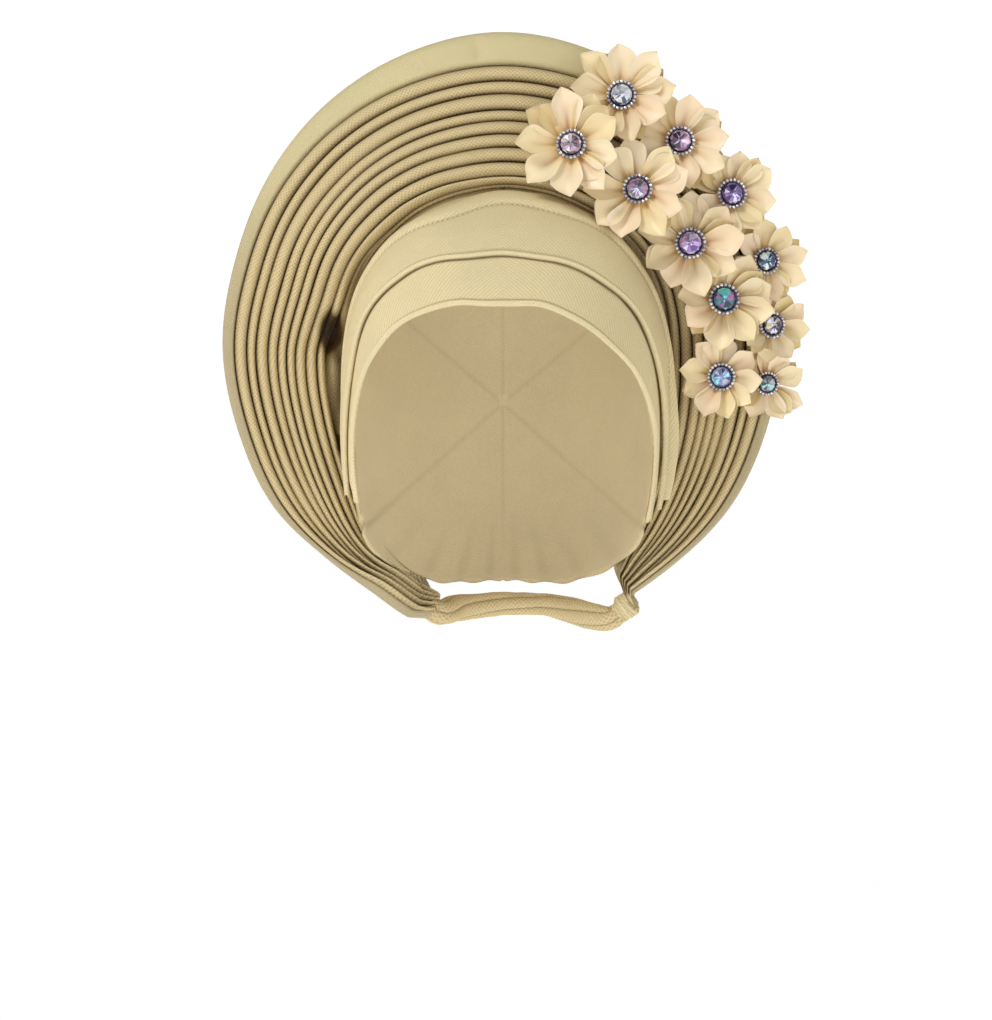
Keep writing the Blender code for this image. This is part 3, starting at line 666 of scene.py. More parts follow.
def fan_sheet_ring(angle):
    """Points of the unfolded sheet at an angle, with each one's fold, rise and front."""
    root, rim, foot, hollow, bow, rise, top = fan_frame(angle)
    across, front, _ = fan_axes(angle)
    ease = 0.05 + sum(more * math.exp(-((angle - at) / wide) ** 2) for at, wide, more in POCKETS)
    pleat_height = rise * PLEAT_RISE
    rows = [(k / 4 * hollow, FAN_WALL, 9.0, 0.0) for k in range(4)]
    place = hollow
    for number, (top_share, side_share) in enumerate(PLEATS):
        width = (1 - hollow) * (side_share + (top_share - side_share) * top)
        slow = 0.06 * math.sin(math.radians(angle) * (2.3 + 0.4 * number) + number * 1.7)
        for step in FOLD_STEPS:
            fold_rise = rise * (FOLD_HEIGHTS[number] + slow)
            rows.append((place + width * step, FAN_WALL, number + step, fold_rise))
        place += width
    pinch = math.exp(-((angle - PINCH_ANGLE) / PINCH_WIDTH) ** 2)
    for step in RIM_STEPS:
        dip = PINCH_DEPTH * pinch * math.sin(math.pi * step) ** 2
        height = rim_height(step, pleat_height) - dip
        rows.append((place + (1 - place) * step, height, 9.0, 0.4 if step == 0 else 0.0))
    rows.append((1.0, FAN_WALL / 2, 9.0, 0.0))
    for step in reversed(RIM_STEPS[3:-1:2]):
        rows.append((place + (1 - place) * step, 0.0, 9.0, 0.0))
    for number in range(len(PLEATS) - 1, -1, -1):
        top_share, side_share = PLEATS[number]
        width = (1 - hollow) * (side_share + (top_share - side_share) * top)
        place -= width
        for step in (1.0, 0.75, 0.5, 0.25):
            groove = 1.2 * MM * rise * math.sin(math.pi * step)
            rows.append((place + width * step, groove, 9.0, 0.0))
    rows += [(k / 3 * hollow, 0.0, 9.0, 0.0) for k in (3, 2, 1, 0)]
    points = []
    for share, height, _, _ in rows:
        forward = bow * (1 - share) * (1 - math.exp(-share / ease))
        points.append(root + across * share + front * (forward + height))
    points.append(foot - front * 0.2 * MM)
    points.append(foot + front * FAN_WALL)
    folds = [row[2] for row in rows] + [9.0, 9.0]
    rises = [row[3] for row in rows] + [0.0, 0.0]
    return points, folds, rises, front


def fan_end(angle):
    """Middle, outward way, width direction, thickness direction and half width of the fan's end."""
    points, _, _, front = fan_sheet_ring(angle)
    across, _, run = fan_axes(angle)
    ring = np.array([tuple(p) for p in points])
    middle = Vector(ring.mean(axis=0))
    wide = across.normalized()
    way = run if angle > 0 else -run
    spread = (ring - ring.mean(axis=0)) @ np.array(wide)
    thick = (ring - ring.mean(axis=0)) @ np.array(front)
    middle = middle + wide * ((spread.max() + spread.min()) / 2)
    middle = middle + front * ((thick.max() + thick.min()) / 2)
    return middle, way, wide, front, (spread.max() - spread.min()) / 2


def knot_frame():
    """Centre, way, width and front of the knot, a little lower than the CAD one: cloth sags."""
    _, way, wide, front, _ = fan_end(FAN_SECTIONS[-1][0])
    low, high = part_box("side_knot")
    return (low + high) / 2 + KNOT_SAG, way, wide, front


def crease_depth(crease, angle):
    """How deep a crease is at an angle: cloth never folds evenly, and some creases press out flat."""
    depth = 0.95 + 0.6 * noise.noise(Vector((crease * 2.3, angle * 0.035, 5.0)))
    for first, last, centre, half_width, share in CREASE_CHANGES:
        if first <= crease <= last:
            depth *= 1 + (share - 1) * math.exp(-(((angle - centre) / half_width) ** 2))
    return min(1.35, max(0.12, depth))


def fold_share(number, angle):
    """Fullness of a fold: towards the fan's two ends every second fold slips under its neighbours."""
    near_end = min(1.0, max(0.0, (abs(angle) - RIDGES_FROM) / RIDGES_OVER))
    near_end = near_end * near_end * (3 - 2 * near_end)
    return 1 + RIDGE_TALL * near_end if number % 2 == 0 else 1 - RIDGE_LOW * near_end


def gathered(ring, front_ways, end, goal, bundle):
    """Rings that draw the fan's end into a round bundle at a goal, with each point's front."""
    middle, way, wide, front, half_wide = end
    span = (goal - middle).length
    top_count = 4 + len(PLEATS) * len(FOLD_STEPS) + len(RIM_STEPS) + 1
    rings, fronts = [], []
    for k in range(1, GATHER_STEPS + 1):
        part = k / GATHER_STEPS
        ease = part * part * (3 - 2 * part)
        centre = middle * (1 - ease) + goal * ease + way * (span * 0.5 * part * (1 - part))
        points, ways = [], []
        for number, place in enumerate(ring):
            off = place - middle
            u, v, w = off.dot(wide), off.dot(front), off.dot(way)
            turn = math.acos(max(-1.0, min(1.0, u / half_wide)))
            if number >= top_count:
                turn = -turn
            round_u, round_v = bundle[0] * math.cos(turn), bundle[1] * math.sin(turn)
            sideways = wide * (u + (round_u - u) * ease) + front * (v + (round_v - v) * ease)
            points.append(tuple(centre + sideways + way * (w * (1 - ease))))
            outward = wide * math.cos(turn) + front * math.sin(turn)
            ways.append(tuple((front_ways * (1 - ease) + outward * ease).normalized()))
        rings.append(points)
        fronts.append(ways)
    return rings, fronts


def pleated_fan():
    first, last = FAN_SECTIONS[0][0], FAN_SECTIONS[-1][0]
    angles = [first + (last - first) * k / (FAN_STEPS - 1) for k in range(FAN_STEPS)]
    rings = [fan_sheet_ring(angle) for angle in angles]
    left, right = fan_end(first), fan_end(last)
    knot_centre, way = knot_frame()[:2]
    knot_goal = knot_centre - way * (KNOT_LENGTH / 2 - BUNDLE_INTO_KNOT)
    roll_goal = left[0] + left[1] * BUNDLE_PAST_END
    before, before_fronts = gathered(rings[0][0], rings[0][3], left, roll_goal, BUNDLE_AT_ROLL)
    after, after_fronts = gathered(rings[-1][0], rings[-1][3], right, knot_goal, BUNDLE_AT_KNOT)
    points = before[::-1] + [[tuple(p) for p in ring[0]] for ring in rings] + after
    grid = np.array(points)
    folds = np.array([rings[0][1]] * len(points))
    parts = [k / GATHER_STEPS for k in range(1, GATHER_STEPS + 1)]
    fade = [GATHER_RISE * part + (1 - part) * 0.70 for part in parts]
    raised = [1.0 if rise > 0 else 0.0 for rise in rings[0][2]]
    end_rises = np.array([[share * on for on in raised] for share in fade])
    rises = np.concatenate([end_rises[::-1], np.array([ring[2] for ring in rings]), end_rises])
    own_fronts = [[tuple(ring[3])] * grid.shape[1] for ring in rings]
    fronts = np.array(before_fronts[::-1] + own_fronts + after_fronts)
    at = [first] * GATHER_STEPS + angles + [last] * GATHER_STEPS
    deep, full = [], []
    for angle in at:
        depths = [crease_depth(crease, angle) for crease in range(len(PLEATS) + 1)]
        shares = [0.55 + 0.45 * min(1.0, depth) for depth in depths]
        deep.append([depths[int(round(fold))] for fold in folds[0]])
        full.append([
            fold_share(int(fold), angle)
            * (shares[int(fold)] * (1 - fold % 1) + shares[min(len(PLEATS), int(fold) + 1)] * (fold % 1))
            for fold in folds[0]
        ])
    # Painted shade of the hollows, kept to the first two pleats' columns
    shade = np.zeros(grid.shape[:2])
    for x, z, half_width, half_height, dark in PAINTED_HOLLOWS:
        off = ((grid[..., 0] / MM - x) / half_width) ** 2 + ((grid[..., 2] / MM - z) / half_height) ** 2
        shade = np.maximum(shade, dark * np.exp(-off ** 2))
    shade[:, 4 + 2 * len(FOLD_STEPS):] = 0.0
    runs = run_lengths(grid)
    number = np.floor(folds[0]).astype(int)
    along = runs.copy()
    for k in range(len(PLEATS)):
        belongs = np.nonzero((number == k) & (rises[0] > 0))[0]
        along[:, belongs] = runs[:, belongs].mean(axis=1, keepdims=True)
    mesh = lofted("pleated_fan", grid, along, ring_lengths(grid) * 1.35, {
        "fold": folds, "rise": rises, "front": fronts, "deep": np.array(deep), "full": np.array(full),
        "shade": shade,
    })
    piece = new_piece("pleated_fan_cloth", mesh, PLEAT_CLOTH, RIM_CLOTH)
    strips = grid.shape[1]
    rim_start = 4 + len(PLEATS) * len(FOLD_STEPS)
    rim_end = rim_start + len(RIM_STEPS) + 1 + len(RIM_STEPS[3:-1:2])
    column = np.arange((grid.shape[0] - 1) * strips) % strips
    slots = np.zeros(len(mesh.polygons), dtype=np.int32)
    slots[: len(column)] = (column >= rim_start) & (column < rim_end)
    mesh.polygons.foreach_set("material_index", slots)
    return grown(
        piece, pleat_tree(), Pleat_Height=4.3 * MM, Roundness=0.68, Crease_Depth=1.2 * MM,
        Crease_Width=0.12, Shadow_Width=3.0, Wobble=1.0 * MM,
    )


fan = pleated_fan()
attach(fan, "root")
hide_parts("pleated_fan")

# %% [markdown]
# ## The cap
#
# The cap is cut to the head from six gores, so shallow seams run from the crown's middle to its edge, and
# soft tucks gather it at the nape. It could be a smooth shell, but a sewn one reads as cloth from behind.
# Its inside, the first thing seen through the face opening, is lined.

# %% Cap with gores, tucks and a lining
CAP_GORES, CAP_TUCKS = 6, 26
CAP_COLUMNS, CAP_RINGS = 240, 70
# Seams and tucks are formed where the bands don't cover the cap: past this turn or this bearing
FORMED_TURN, FORMED_BEARING = 92, 118


def face_edge(bearing):
    """Turn of the cap's edge at a bearing, round the face and under the nape."""
    side = (bearing + 180) % 360 - 180
    if abs(side) <= BAND_EDGES[-1][0]:
        return between(BAND_EDGES, side)[0]
    return between(NAPE_EDGE, abs(side))[0]


def cap_lift(bearing, share, turn):
    """How far the cloth stands off its smooth form: seams press in, tucks stand out towards the nape."""
    gore = abs(((bearing / 360 * CAP_GORES) + 0.5) % 1 - 0.5) * 360 / CAP_GORES
    width = gore * math.radians(1) * math.sin(math.radians(turn)) * 90
    seam = -0.55 * math.exp(-(width / 1.3) ** 2) + 0.30 * math.exp(-((width - 2.6) / 1.4) ** 2)
    nape = max(0.0, 1 - share * 2.2) * max(0.0, -math.cos(math.radians(bearing))) ** 0.7
    tuck = 0.8 * nape * math.cos(math.radians(bearing) * CAP_TUCKS)
    hem = 0.5 * math.exp(-((share * 90 - 2.5) / 1.6) ** 2)
    return (seam + tuck + hem) * MM


def cap():
    grid = []
    marks = []
    for i in range(CAP_COLUMNS):
        bearing = 360 * i / CAP_COLUMNS
        start = face_edge(bearing) + CAP_SET_BACK
        shares = [(k / CAP_RINGS) ** 1.15 for k in range(CAP_RINGS)]
        column, dark = [], []
        for share in shares:
            turn = start + (180 - start) * share
            shows = turn > FORMED_TURN or abs((bearing + 180) % 360 - 180) > FORMED_BEARING
            lift = CAP_WALL + (cap_lift(bearing, share, turn) if shows else 0.0)
            place = on_head(bearing, turn, lift)
            sag = noise.noise(place * 28) * 1.0 * MM * min(1.0, max(0.0, (turn - 95) / 20))
            column.append(on_head(bearing, turn, lift + sag))
            # Painted shade in the pressed-in seams and between the tucks
            dark.append(max(0.0, min(0.55, -cap_lift(bearing, share, turn) / MM * 0.9)))
        grid.append(column)
        marks.append(dark)
    grid.append(grid[0])
    marks.append(marks[0])
    outer = np.array([[tuple(p) for p in column] for column in grid])
    lining = []
    for i in range(CAP_COLUMNS):
        bearing = 360 * i / CAP_COLUMNS
        start = face_edge(bearing) + CAP_SET_BACK
        lining.append([tuple(on_head(bearing, start + (180 - start) * share, 0.0)) for share in shares])
    inner = np.array(lining + lining[:1])
    cage = bmesh.new()
    uv = cage.loops.layers.uv.new("UVMap")
    dark = cage.verts.layers.float.new("crease")
    wide = run_lengths(outer).mean(axis=1)
    high = ring_lengths(outer)
    sides = []
    for layer, points in enumerate((outer, inner)):
        rows = []
        for i in range(CAP_COLUMNS):
            rows.append([cage.verts.new(points[i, k]) for k in range(CAP_RINGS)])
            for k in range(CAP_RINGS):
                # The lining takes a quarter of the same painted shade
                rows[i][k][dark] = marks[i][k] if layer == 0 else 0.25 * marks[i][k]
        pole = cage.verts.new(on_head(0, 180, CAP_WALL if layer == 0 else 0.0))
        sides.append(rows)
        for i in range(CAP_COLUMNS):
            here, there = rows[i], rows[(i + 1) % CAP_COLUMNS]
            for k in range(CAP_RINGS - 1):
                corners = [
                    (here[k], i, k), (here[k + 1], i, k + 1),
                    (there[k + 1], i + 1, k + 1), (there[k], i + 1, k),
                ]
                if layer:
                    corners.reverse()
                face = cage.faces.new([c[0] for c in corners])
                face.material_index = layer
                for loop, (_, ci, ck) in zip(face.loops, corners):
                    loop[uv].uv = (wide[ci], high[min(ci, CAP_COLUMNS), ck])
            tip = (here[-1], pole, there[-1])
            face = cage.faces.new(tip[::-1] if layer else tip)
            face.material_index = layer
    for i in range(CAP_COLUMNS):
        j = (i + 1) % CAP_COLUMNS
        cage.faces.new((sides[0][i][0], sides[0][j][0], sides[1][j][0], sides[1][i][0]))
    bmesh.ops.recalc_face_normals(cage, faces=cage.faces[:])
    mesh = closed_up(cage, "cap")
    mesh.shade_smooth()
    return new_piece("cap_cloth", mesh, CAP_CLOTH, LINING_CLOTH)


cap_piece = cap()
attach(cap_piece, "root")
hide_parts("cap_crown")
print("cap:", triangles(cap_piece), "triangles")

# %% [markdown]
# ## The two bands
#
# Each band is a strip of cloth with its edge rolled over and sewn. A band's section is a short list of
# heights across its width, in millimetres, so a rolled hem is a quarter round and a seam is a narrow
# dip. The section is carried round the face from one ear to the other. The crown band's outer strip is
# a roll of its own behind a row of stitches, and it widens and stands off over the pleats at one side.

# %% Bands
BAND_STEP = 1.0


def band_bearings():
    first, last = BAND_EDGES[0][0], BAND_EDGES[-1][0]
    count = int((last - first) / BAND_STEP)
    return [first + (last - first) * k / count for k in range(count + 1)]


def turn_length(bearing, turn):
    """Length of one degree of turn at a place on the head."""
    return (on_head(bearing, turn + 0.5, 0) - on_head(bearing, turn - 0.5, 0)).length


def carried(name, section_at, finishes, hem_rows, cuts):
    """Loft a band from its section at each bearing. hem_rows are the strips that take the hem finish. cuts
    are the degrees by which the near and far edge stop short at the left end and at the right end."""
    rings, marks = [], []
    first, last = BAND_EDGES[0][0], BAND_EDGES[-1][0]
    for bearing in band_bearings():
        left = max(0.0, 1 - (bearing - first) / END_EASE)
        right = max(0.0, 1 - (last - bearing) / END_EASE)
        near = bearing + cuts[0] * left * left - cuts[2] * right * right
        far = bearing + cuts[1] * left * left - cuts[3] * right * right
        near_rows, far_rows = section_at(near), section_at(far)
        low = min(row[0] for row in near_rows)
        high = max(row[0] for row in near_rows)
        ring = []
        for near_row, far_row in zip(near_rows, far_rows):
            share = (near_row[0] - low) / (high - low)
            place, turn, lift = (
                start + (stop - start) * share
                for start, stop in zip((near, *near_row[:2]), (far, *far_row[:2]))
            )
            ring.append(tuple(on_head(place, turn, lift)))
        rings.append(ring)
        marks.append([dark for _, _, dark in near_rows])
    grid = np.array(rings)
    runs = run_lengths(grid)
    middle = np.argmin(np.abs(np.array(band_bearings())))
    along = np.repeat((runs - runs[middle]).mean(axis=1, keepdims=True), grid.shape[1], axis=1)
    mesh = lofted(name, grid, along, ring_lengths(grid), {"crease": np.array(marks)})
    column = np.arange((grid.shape[0] - 1) * grid.shape[1]) % grid.shape[1]
    slots = np.zeros(len(mesh.polygons), dtype=np.int32)
    slots[: len(column)] = np.isin(column, hem_rows)
    mesh.polygons.foreach_set("material_index", slots)
    return new_piece(name, mesh, *finishes)


END_EASE = 30.0
BROW_CUTS, CROWN_CUTS = (5.0, 15.0, 1.0, 13.0), (8.0, 15.0, 5.0, 9.0)
# Width and length in metres of each band's flat cloth, picked to match the modelled band's own area
BROW_CUT, CROWN_CUT = (0.027, 0.34), (0.033, 0.36)
HEM_WIDTH, HEM_HEIGHT = 2.4 * MM, 0.9 * MM
EDGE_SHADE = 0.45 * MM
BAND_WAVE = 0.35 * MM


# The painted shade of the line between the bands fades from this bearing on, over so many degrees, by
# this share
FADE_FROM, FADE_OVER, FADE_SHARE = 66, 16, 0.85


def side_fade(bearing):
    """How dark the painted shade of the line between the bands is: at the sides they lie closer and hide
    it.
    """
    part = min(1.0, max(0.0, (abs(bearing) - FADE_FROM) / FADE_OVER))
    return 1 - FADE_SHARE * part * part * (3 - 2 * part)


def brow_section(bearing):
    face, low = between(BAND_EDGES, bearing)[:2]
    degree = turn_length(bearing, face)
    inner = CAP_WALL + CLOTH_REST
    outer = inner + BROW_CLOTH
    hem = HEM_WIDTH / degree
    rear = low + BROW_TUCK
    rows = []
    for k in range(11):
        part = k / 10
        bulge = math.sqrt(max(0.0, 1 - (2 * part - 1) ** 2))
        height = inner + (BROW_CLOTH / 2 if part < 0.5 else BROW_CLOTH) + HEM_HEIGHT * bulge
        # Painted shade in the small groove behind the hem
        dip, shade = (0.25 * MM, 0.5) if part == 1 else (0, 0.0)
        rows.append((face + hem * part, height - dip, shade))
    for k in range(1, 29):
        part = k / 28
        wave = BAND_WAVE * noise.noise(Vector((bearing * 0.035, part * 1.3, 4.0)))
        turn = face + hem + (rear - face - hem) * part
        # Painted shadow under the crown band's low edge, and painted shade over the part tucked under it
        under = max(0.0, 1 - abs(turn - low - 0.3) * degree / EDGE_SHADE / 2)
        dark = 0.8 * under if turn < low + 0.6 else 0.8
        rows.append((turn, outer + wave * math.sin(math.pi * part), dark * side_fade(bearing)))
    rows += [(rear + (face - rear) * k / 8, inner, 0.0) for k in range(9)]
    return rows


STRIP_WIDTH, STRIP_SIDE_WIDTH = 12.5 * MM, 3.6 * MM
STRIP_PUFF, SEAM_DEPTH = 1.3 * MM, 0.6 * MM
ROLL_WIDTH, ROLL_HEIGHT = 1.9 * MM, 0.8 * MM


def crown_frame(bearing):
    """Edges, stand-off and the turn of the stitched seam of the crown band at a bearing."""
    _, low, out, flare = between(BAND_EDGES, bearing)
    stand_off = CROWN_FLARE * max(0.0, flare)
    degree = turn_length(bearing, out)
    frontal = max(0.0, math.cos(math.radians(min(90.0, abs(bearing) * 1.15)))) ** 1.4
    strip = STRIP_SIDE_WIDTH + (STRIP_WIDTH - STRIP_SIDE_WIDTH) * frontal
    seam = out - min(strip / degree, 0.5 * (out - low))
    return low, out, stand_off, seam


def crown_lift(low, out, stand_off, turn):
    """Lift of the crown band's underside at a turn."""
    over_brow = CAP_WALL + BROW_CLOTH + 2 * CLOTH_REST
    over_cap = CAP_WALL + CLOTH_REST
    knee = min(low + CROWN_STEP, low + 0.75 * (out - low))
    if turn < knee:
        part = (turn - low) / (knee - low)
        return over_brow + stand_off * (0.1 + 0.15 * part)
    part = (turn - knee) / (out - knee)
    ease = part * part * (3 - 2 * part) * 0.35 + part * 0.65
    start = over_brow + stand_off * 0.25
    return start + (over_cap + stand_off - start) * ease


def crown_section(bearing):
    low, out, stand_off, seam = crown_frame(bearing)
    degree = turn_length(bearing, low)
    roll = ROLL_WIDTH / degree
    seam_half = 0.9 * MM / turn_length(bearing, out)
    rows = []
    for k in range(9):
        part = k / 8
        bulge = math.sqrt(max(0.0, 1 - (2 * part - 1) ** 2))
        turn = low + roll * part
        base = crown_lift(low, out, stand_off, turn) + (0.5 if part < 0.5 else 1.0) * CROWN_CLOTH
        # Painted shade along the bottom of the roll and in the groove behind it
        shade = (0.45, 0.12)[k] * side_fade(bearing) if k < 2 else 0.2 if k == 8 else 0.0
        rows.append((turn, base + ROLL_HEIGHT * bulge - (0.2 * MM if part == 1 else 0), shade))
    for k in range(1, 15):
        part = k / 15
        turn = low + roll + (seam - seam_half - low - roll) * part
        wave = BAND_WAVE * noise.noise(Vector((bearing * 0.03, part * 1.2, 9.0)))
        height = crown_lift(low, out, stand_off, turn) + CROWN_CLOTH
        rows.append((turn, height + wave * math.sin(math.pi * part), 0.0))
    # Painted shade in the dip of the stitched seam
    for k in range(-2, 3):
        turn = seam + seam_half * k / 2
        dip = SEAM_DEPTH * (1 - (k / 2) ** 2)
        height = crown_lift(low, out, stand_off, turn) + CROWN_CLOTH
        rows.append((turn, height - dip, 0.55 * (1 - abs(k) / 2)))
    for k in range(1, 9):
        part = k / 8
        turn = seam + seam_half + (out - seam - seam_half) * part
        puff = STRIP_PUFF * math.sin(math.pi * min(1.0, part * 0.82 + 0.1)) ** 0.7
        height = crown_lift(low, out, stand_off, turn) + CROWN_CLOTH
        rows.append((turn, height + puff * (1 - part ** 4), 0.0))
    rows.append((out + 0.4, crown_lift(low, out, stand_off, out) + CROWN_CLOTH / 2, 0.0))
    # The underside takes painted shade, darkest at the low edge
    for k in range(11):
        turn = out + (low - out) * k / 10
        shade = (0.9 if k == 10 else 0.3) * side_fade(bearing)
        rows.append((turn, crown_lift(low, out, stand_off, turn), shade))
    return rows


FINISHES = (BAND_CLOTH, HEM_CLOTH)
brow = carried("brow_band_cloth", brow_section, FINISHES, list(range(0, 10)), BROW_CUTS)
crown = carried("crown_band_cloth", crown_section, FINISHES, list(range(0, 8)), CROWN_CUTS)
for band, node, cut, under in (
    (brow, "brow_band", BROW_CUT, "cap_crown"),
    (crown, "crown_band", CROWN_CUT, "brow_band"),
):
    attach(band, "root")
    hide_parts(node)
    print(band.name, triangles(band), "triangles")

# %% [markdown]
# ## Ribbon flowers
#
# A florist cuts petals from satin ribbon, curls their edges over a hot tool, pinches each one at its root
# so that a gutter forms, and gathers eight or nine on a small pad. One good petal is modelled here and a
# Geometry Nodes tree sets it round the heart. Small differences in turn, roll and size, with a fixed seed
# for each flower, keep them from looking stamped. Four shorter petals behind fill the gaps.

# %% Places of the flowers
FLOWERS = (
    # petal size, setting size, pitch, yaw, spin, petals
    (1.00, 1.00, 6, 0, 8, 9),
    (1.04, 1.00, 8, -4, 24, 9),
    (0.96, 1.00, 5, 6, 2, 9),
    (1.02, 1.00, 6, -2, 15, 9),
    (0.90, 1.00, 3, 10, 30, 8),
    (1.00, 1.05, 4, 0, 5, 9),
    (0.82, 0.90, 0, 16, 12, 8),
    (0.95, 1.05, 0, 4, 20, 9),
    (0.74, 0.90, -3, 18, 34, 8),
    (0.80, 0.95, -4, 4, 3, 9),
    (0.76, 0.80, -8, 10, 18, 8),
)


def flower_place(number, pitch, yaw, spin):
    """Matrix that turns a flower's own Z the way it faces and sets it under its CAD setting."""
    facing = Matrix.Rotation(math.radians(yaw), 3, "Z") @ Matrix.Rotation(math.radians(-pitch), 3, "X")
    axis = facing @ Vector((0, -1, 0))
    turn = axis.to_track_quat("Z", "Y").to_matrix().to_4x4() @ Matrix.Rotation(math.radians(spin), 4, "Z")
    back = turn.inverted()
    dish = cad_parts[f"setting_{number:02d}"].data
    corners = np.array([tuple(back @ corner.co) for corner in dish.vertices])
    low, high = corners.min(axis=0), corners.max(axis=0)
    return turn @ Matrix.Translation(((low[0] + high[0]) / 2, (low[1] + high[1]) / 2, low[2] - SEAT_GAP))


PLACES = [flower_place(number, *row[2:5]) for number, row in enumerate(FLOWERS, start=1)]
print("first flower's heart in mm:", [round(x / MM, 1) for x in PLACES[0].translation])

# %% One satin petal
PETAL_START, PETAL_END = 2.6 * MM, 25.0 * MM
PETAL_CLOTH = 0.5 * MM
PETAL_ROWS = (
    # share of length, half width, middle height, edge rise, gutter depth, lean of the tip (mm)
    (0.00, 1.4, -0.75, 0.30, 0.20, 0.0),
    (0.12, 2.3, -0.65, 0.90, 0.60, 0.0),
    (0.24, 3.5, -0.30, 1.70, 1.00, 0.0),
    (0.40, 5.2, 0.75, 2.40, 0.90, 0.0),
    (0.56, 6.5, 2.00, 2.70, 0.60, 0.0),
    (0.68, 6.7, 2.80, 2.60, 0.35, 0.1),
    (0.78, 5.7, 3.30, 2.20, 0.20, 0.2),
    (0.87, 3.9, 3.60, 1.60, 0.10, 0.5),
    (0.94, 2.0, 3.85, 0.90, 0.0, 0.9),
    (1.00, 0.3, 4.30, 0.10, 0.0, 1.4),
)
PETAL_STATIONS, PETAL_TOP, PETAL_UNDER = 19, 15, 7


def petal_mesh():
    """A petal along +X: cupped, pinched to a gutter at its root, with rolled edges and a small point."""
    over = [math.sin(math.pi / 2 * (2 * k / (PETAL_TOP - 1) - 1)) for k in range(PETAL_TOP)]
    under = [1 - 2 * (k + 0.5) / PETAL_UNDER for k in range(PETAL_UNDER)]
    grid, across, heart, gutter, rim = [], [], [], [], []
    for i in range(PETAL_STATIONS):
        share = (i / (PETAL_STATIONS - 1)) ** 0.92
        half, middle, rise, deep, lean = (value * MM for value in between(PETAL_ROWS, share))
        ring = []
        for number, t in enumerate(over + under):
            roll = 0.30 * MM * math.exp(-(((1 - abs(t)) / 0.13) ** 2)) * min(1.0, share * 4)
            height = middle + rise * abs(t) ** 2.1 - deep * math.exp(-((t / 0.2) ** 2)) + roll
            if number >= PETAL_TOP:
                height -= PETAL_CLOTH + roll
            ring.append((PETAL_START + (PETAL_END - PETAL_START) * share, t * half + lean, height))
        grid.append(ring)
        across.append([t * half for t in over + under])
        # Masks for the satin's painted shade near the root and in the gutter, and for its painted highlight
        # along the rolled edges
        heart.append([math.exp(-((share / 0.33) ** 1.5))] * len(ring))
        gutter.append([math.exp(-((t / 0.24) ** 2)) * max(0.0, 1 - share * 1.35) for t in over + under])
        rim.append([math.exp(-(((1 - abs(t)) / 0.16) ** 2)) for t in over + under])
    grid = np.array(grid)
    marks = {"heart": np.array(heart), "gutter": np.array(gutter), "rim": np.array(rim)}
    return lofted("petal", grid, run_lengths(grid), np.array(across), marks)


# %% Satin finish
def satin(name):
    """Ribbon satin: cream with peach and olive petals among it, gold near the heart and in the pinched
    gutter as painted shade, and lighter curled edges as painted highlight.
    """
    finish, tree, shader = new_finish(
        name, Roughness=0.36, Sheen_Weight=0.04, Subsurface_Weight=0.12, Subsurface_Radius=(1.0, 0.6, 0.3),
        Subsurface_Scale=1.2 * MM,
    )
    tint, heart, gutter, rim = (
        add(tree, "ShaderNodeAttribute", attribute_name=key).outputs["Fac"]
        for key in ("tint", "heart", "gutter", "rim")
    )
    base = add(tree, "ShaderNodeValToRGB", {0: tint})
    stops = base.color_ramp.elements
    stops[0].color, stops[1].color = tone(232, 211, 154), tone(248, 222, 188)
    stops.new(0.35).color = tone(243, 223, 178)
    stops.new(0.7).color = tone(248, 228, 194)
    place = add(tree, "ShaderNodeTexCoord").outputs["Object"]
    cloud = add(tree, "ShaderNodeTexNoise", {"Vector": place, "Scale": 160.0, "Detail": 3.0}).outputs[0]
    uneven = maths(tree, "MULTIPLY", maths(tree, "SUBTRACT", cloud, 0.5), 0.5)
    # Painted shade: gold near the heart and darker gold in the gutter
    spread = maths(tree, "ADD", heart, uneven)
    deep = stretched(tree, spread, 0.15, 0.9, interpolation_type="SMOOTHSTEP")
    colour = mixed(tree, maths(tree, "MULTIPLY", deep, 0.9), base.outputs[0], tone(232, 184, 98))
    colour = mixed(tree, maths(tree, "MULTIPLY", gutter, 0.75), colour, tone(190, 132, 52))
    # Painted highlight on the curled edges
    colour = mixed(tree, maths(tree, "MULTIPLY", rim, 0.35), colour, tone(252, 240, 216))
    tree.links.new(colour, shader.inputs["Base Color"])
    uv = add(tree, "ShaderNodeUVMap", uv_map="UVMap").outputs[0]
    ribs = wave_on(tree, add(tree, "ShaderNodeSeparateXYZ", {0: uv}).outputs[0], 0.45 * MM)
    folds = add(tree, "ShaderNodeTexNoise", {"Vector": place, "Scale": 420.0, "Detail": 2.0}).outputs[0]
    height = maths(tree, "MULTIPLY_ADD", ribs, 0.25, folds)
    bump = add(tree, "ShaderNodeBump", {"Strength": 0.10, "Distance": 0.3 * MM, "Height": height})
    tree.links.new(bump.outputs[0], shader.inputs["Normal"])
    return finish


PETAL_SATIN = satin("cream ribbon satin")


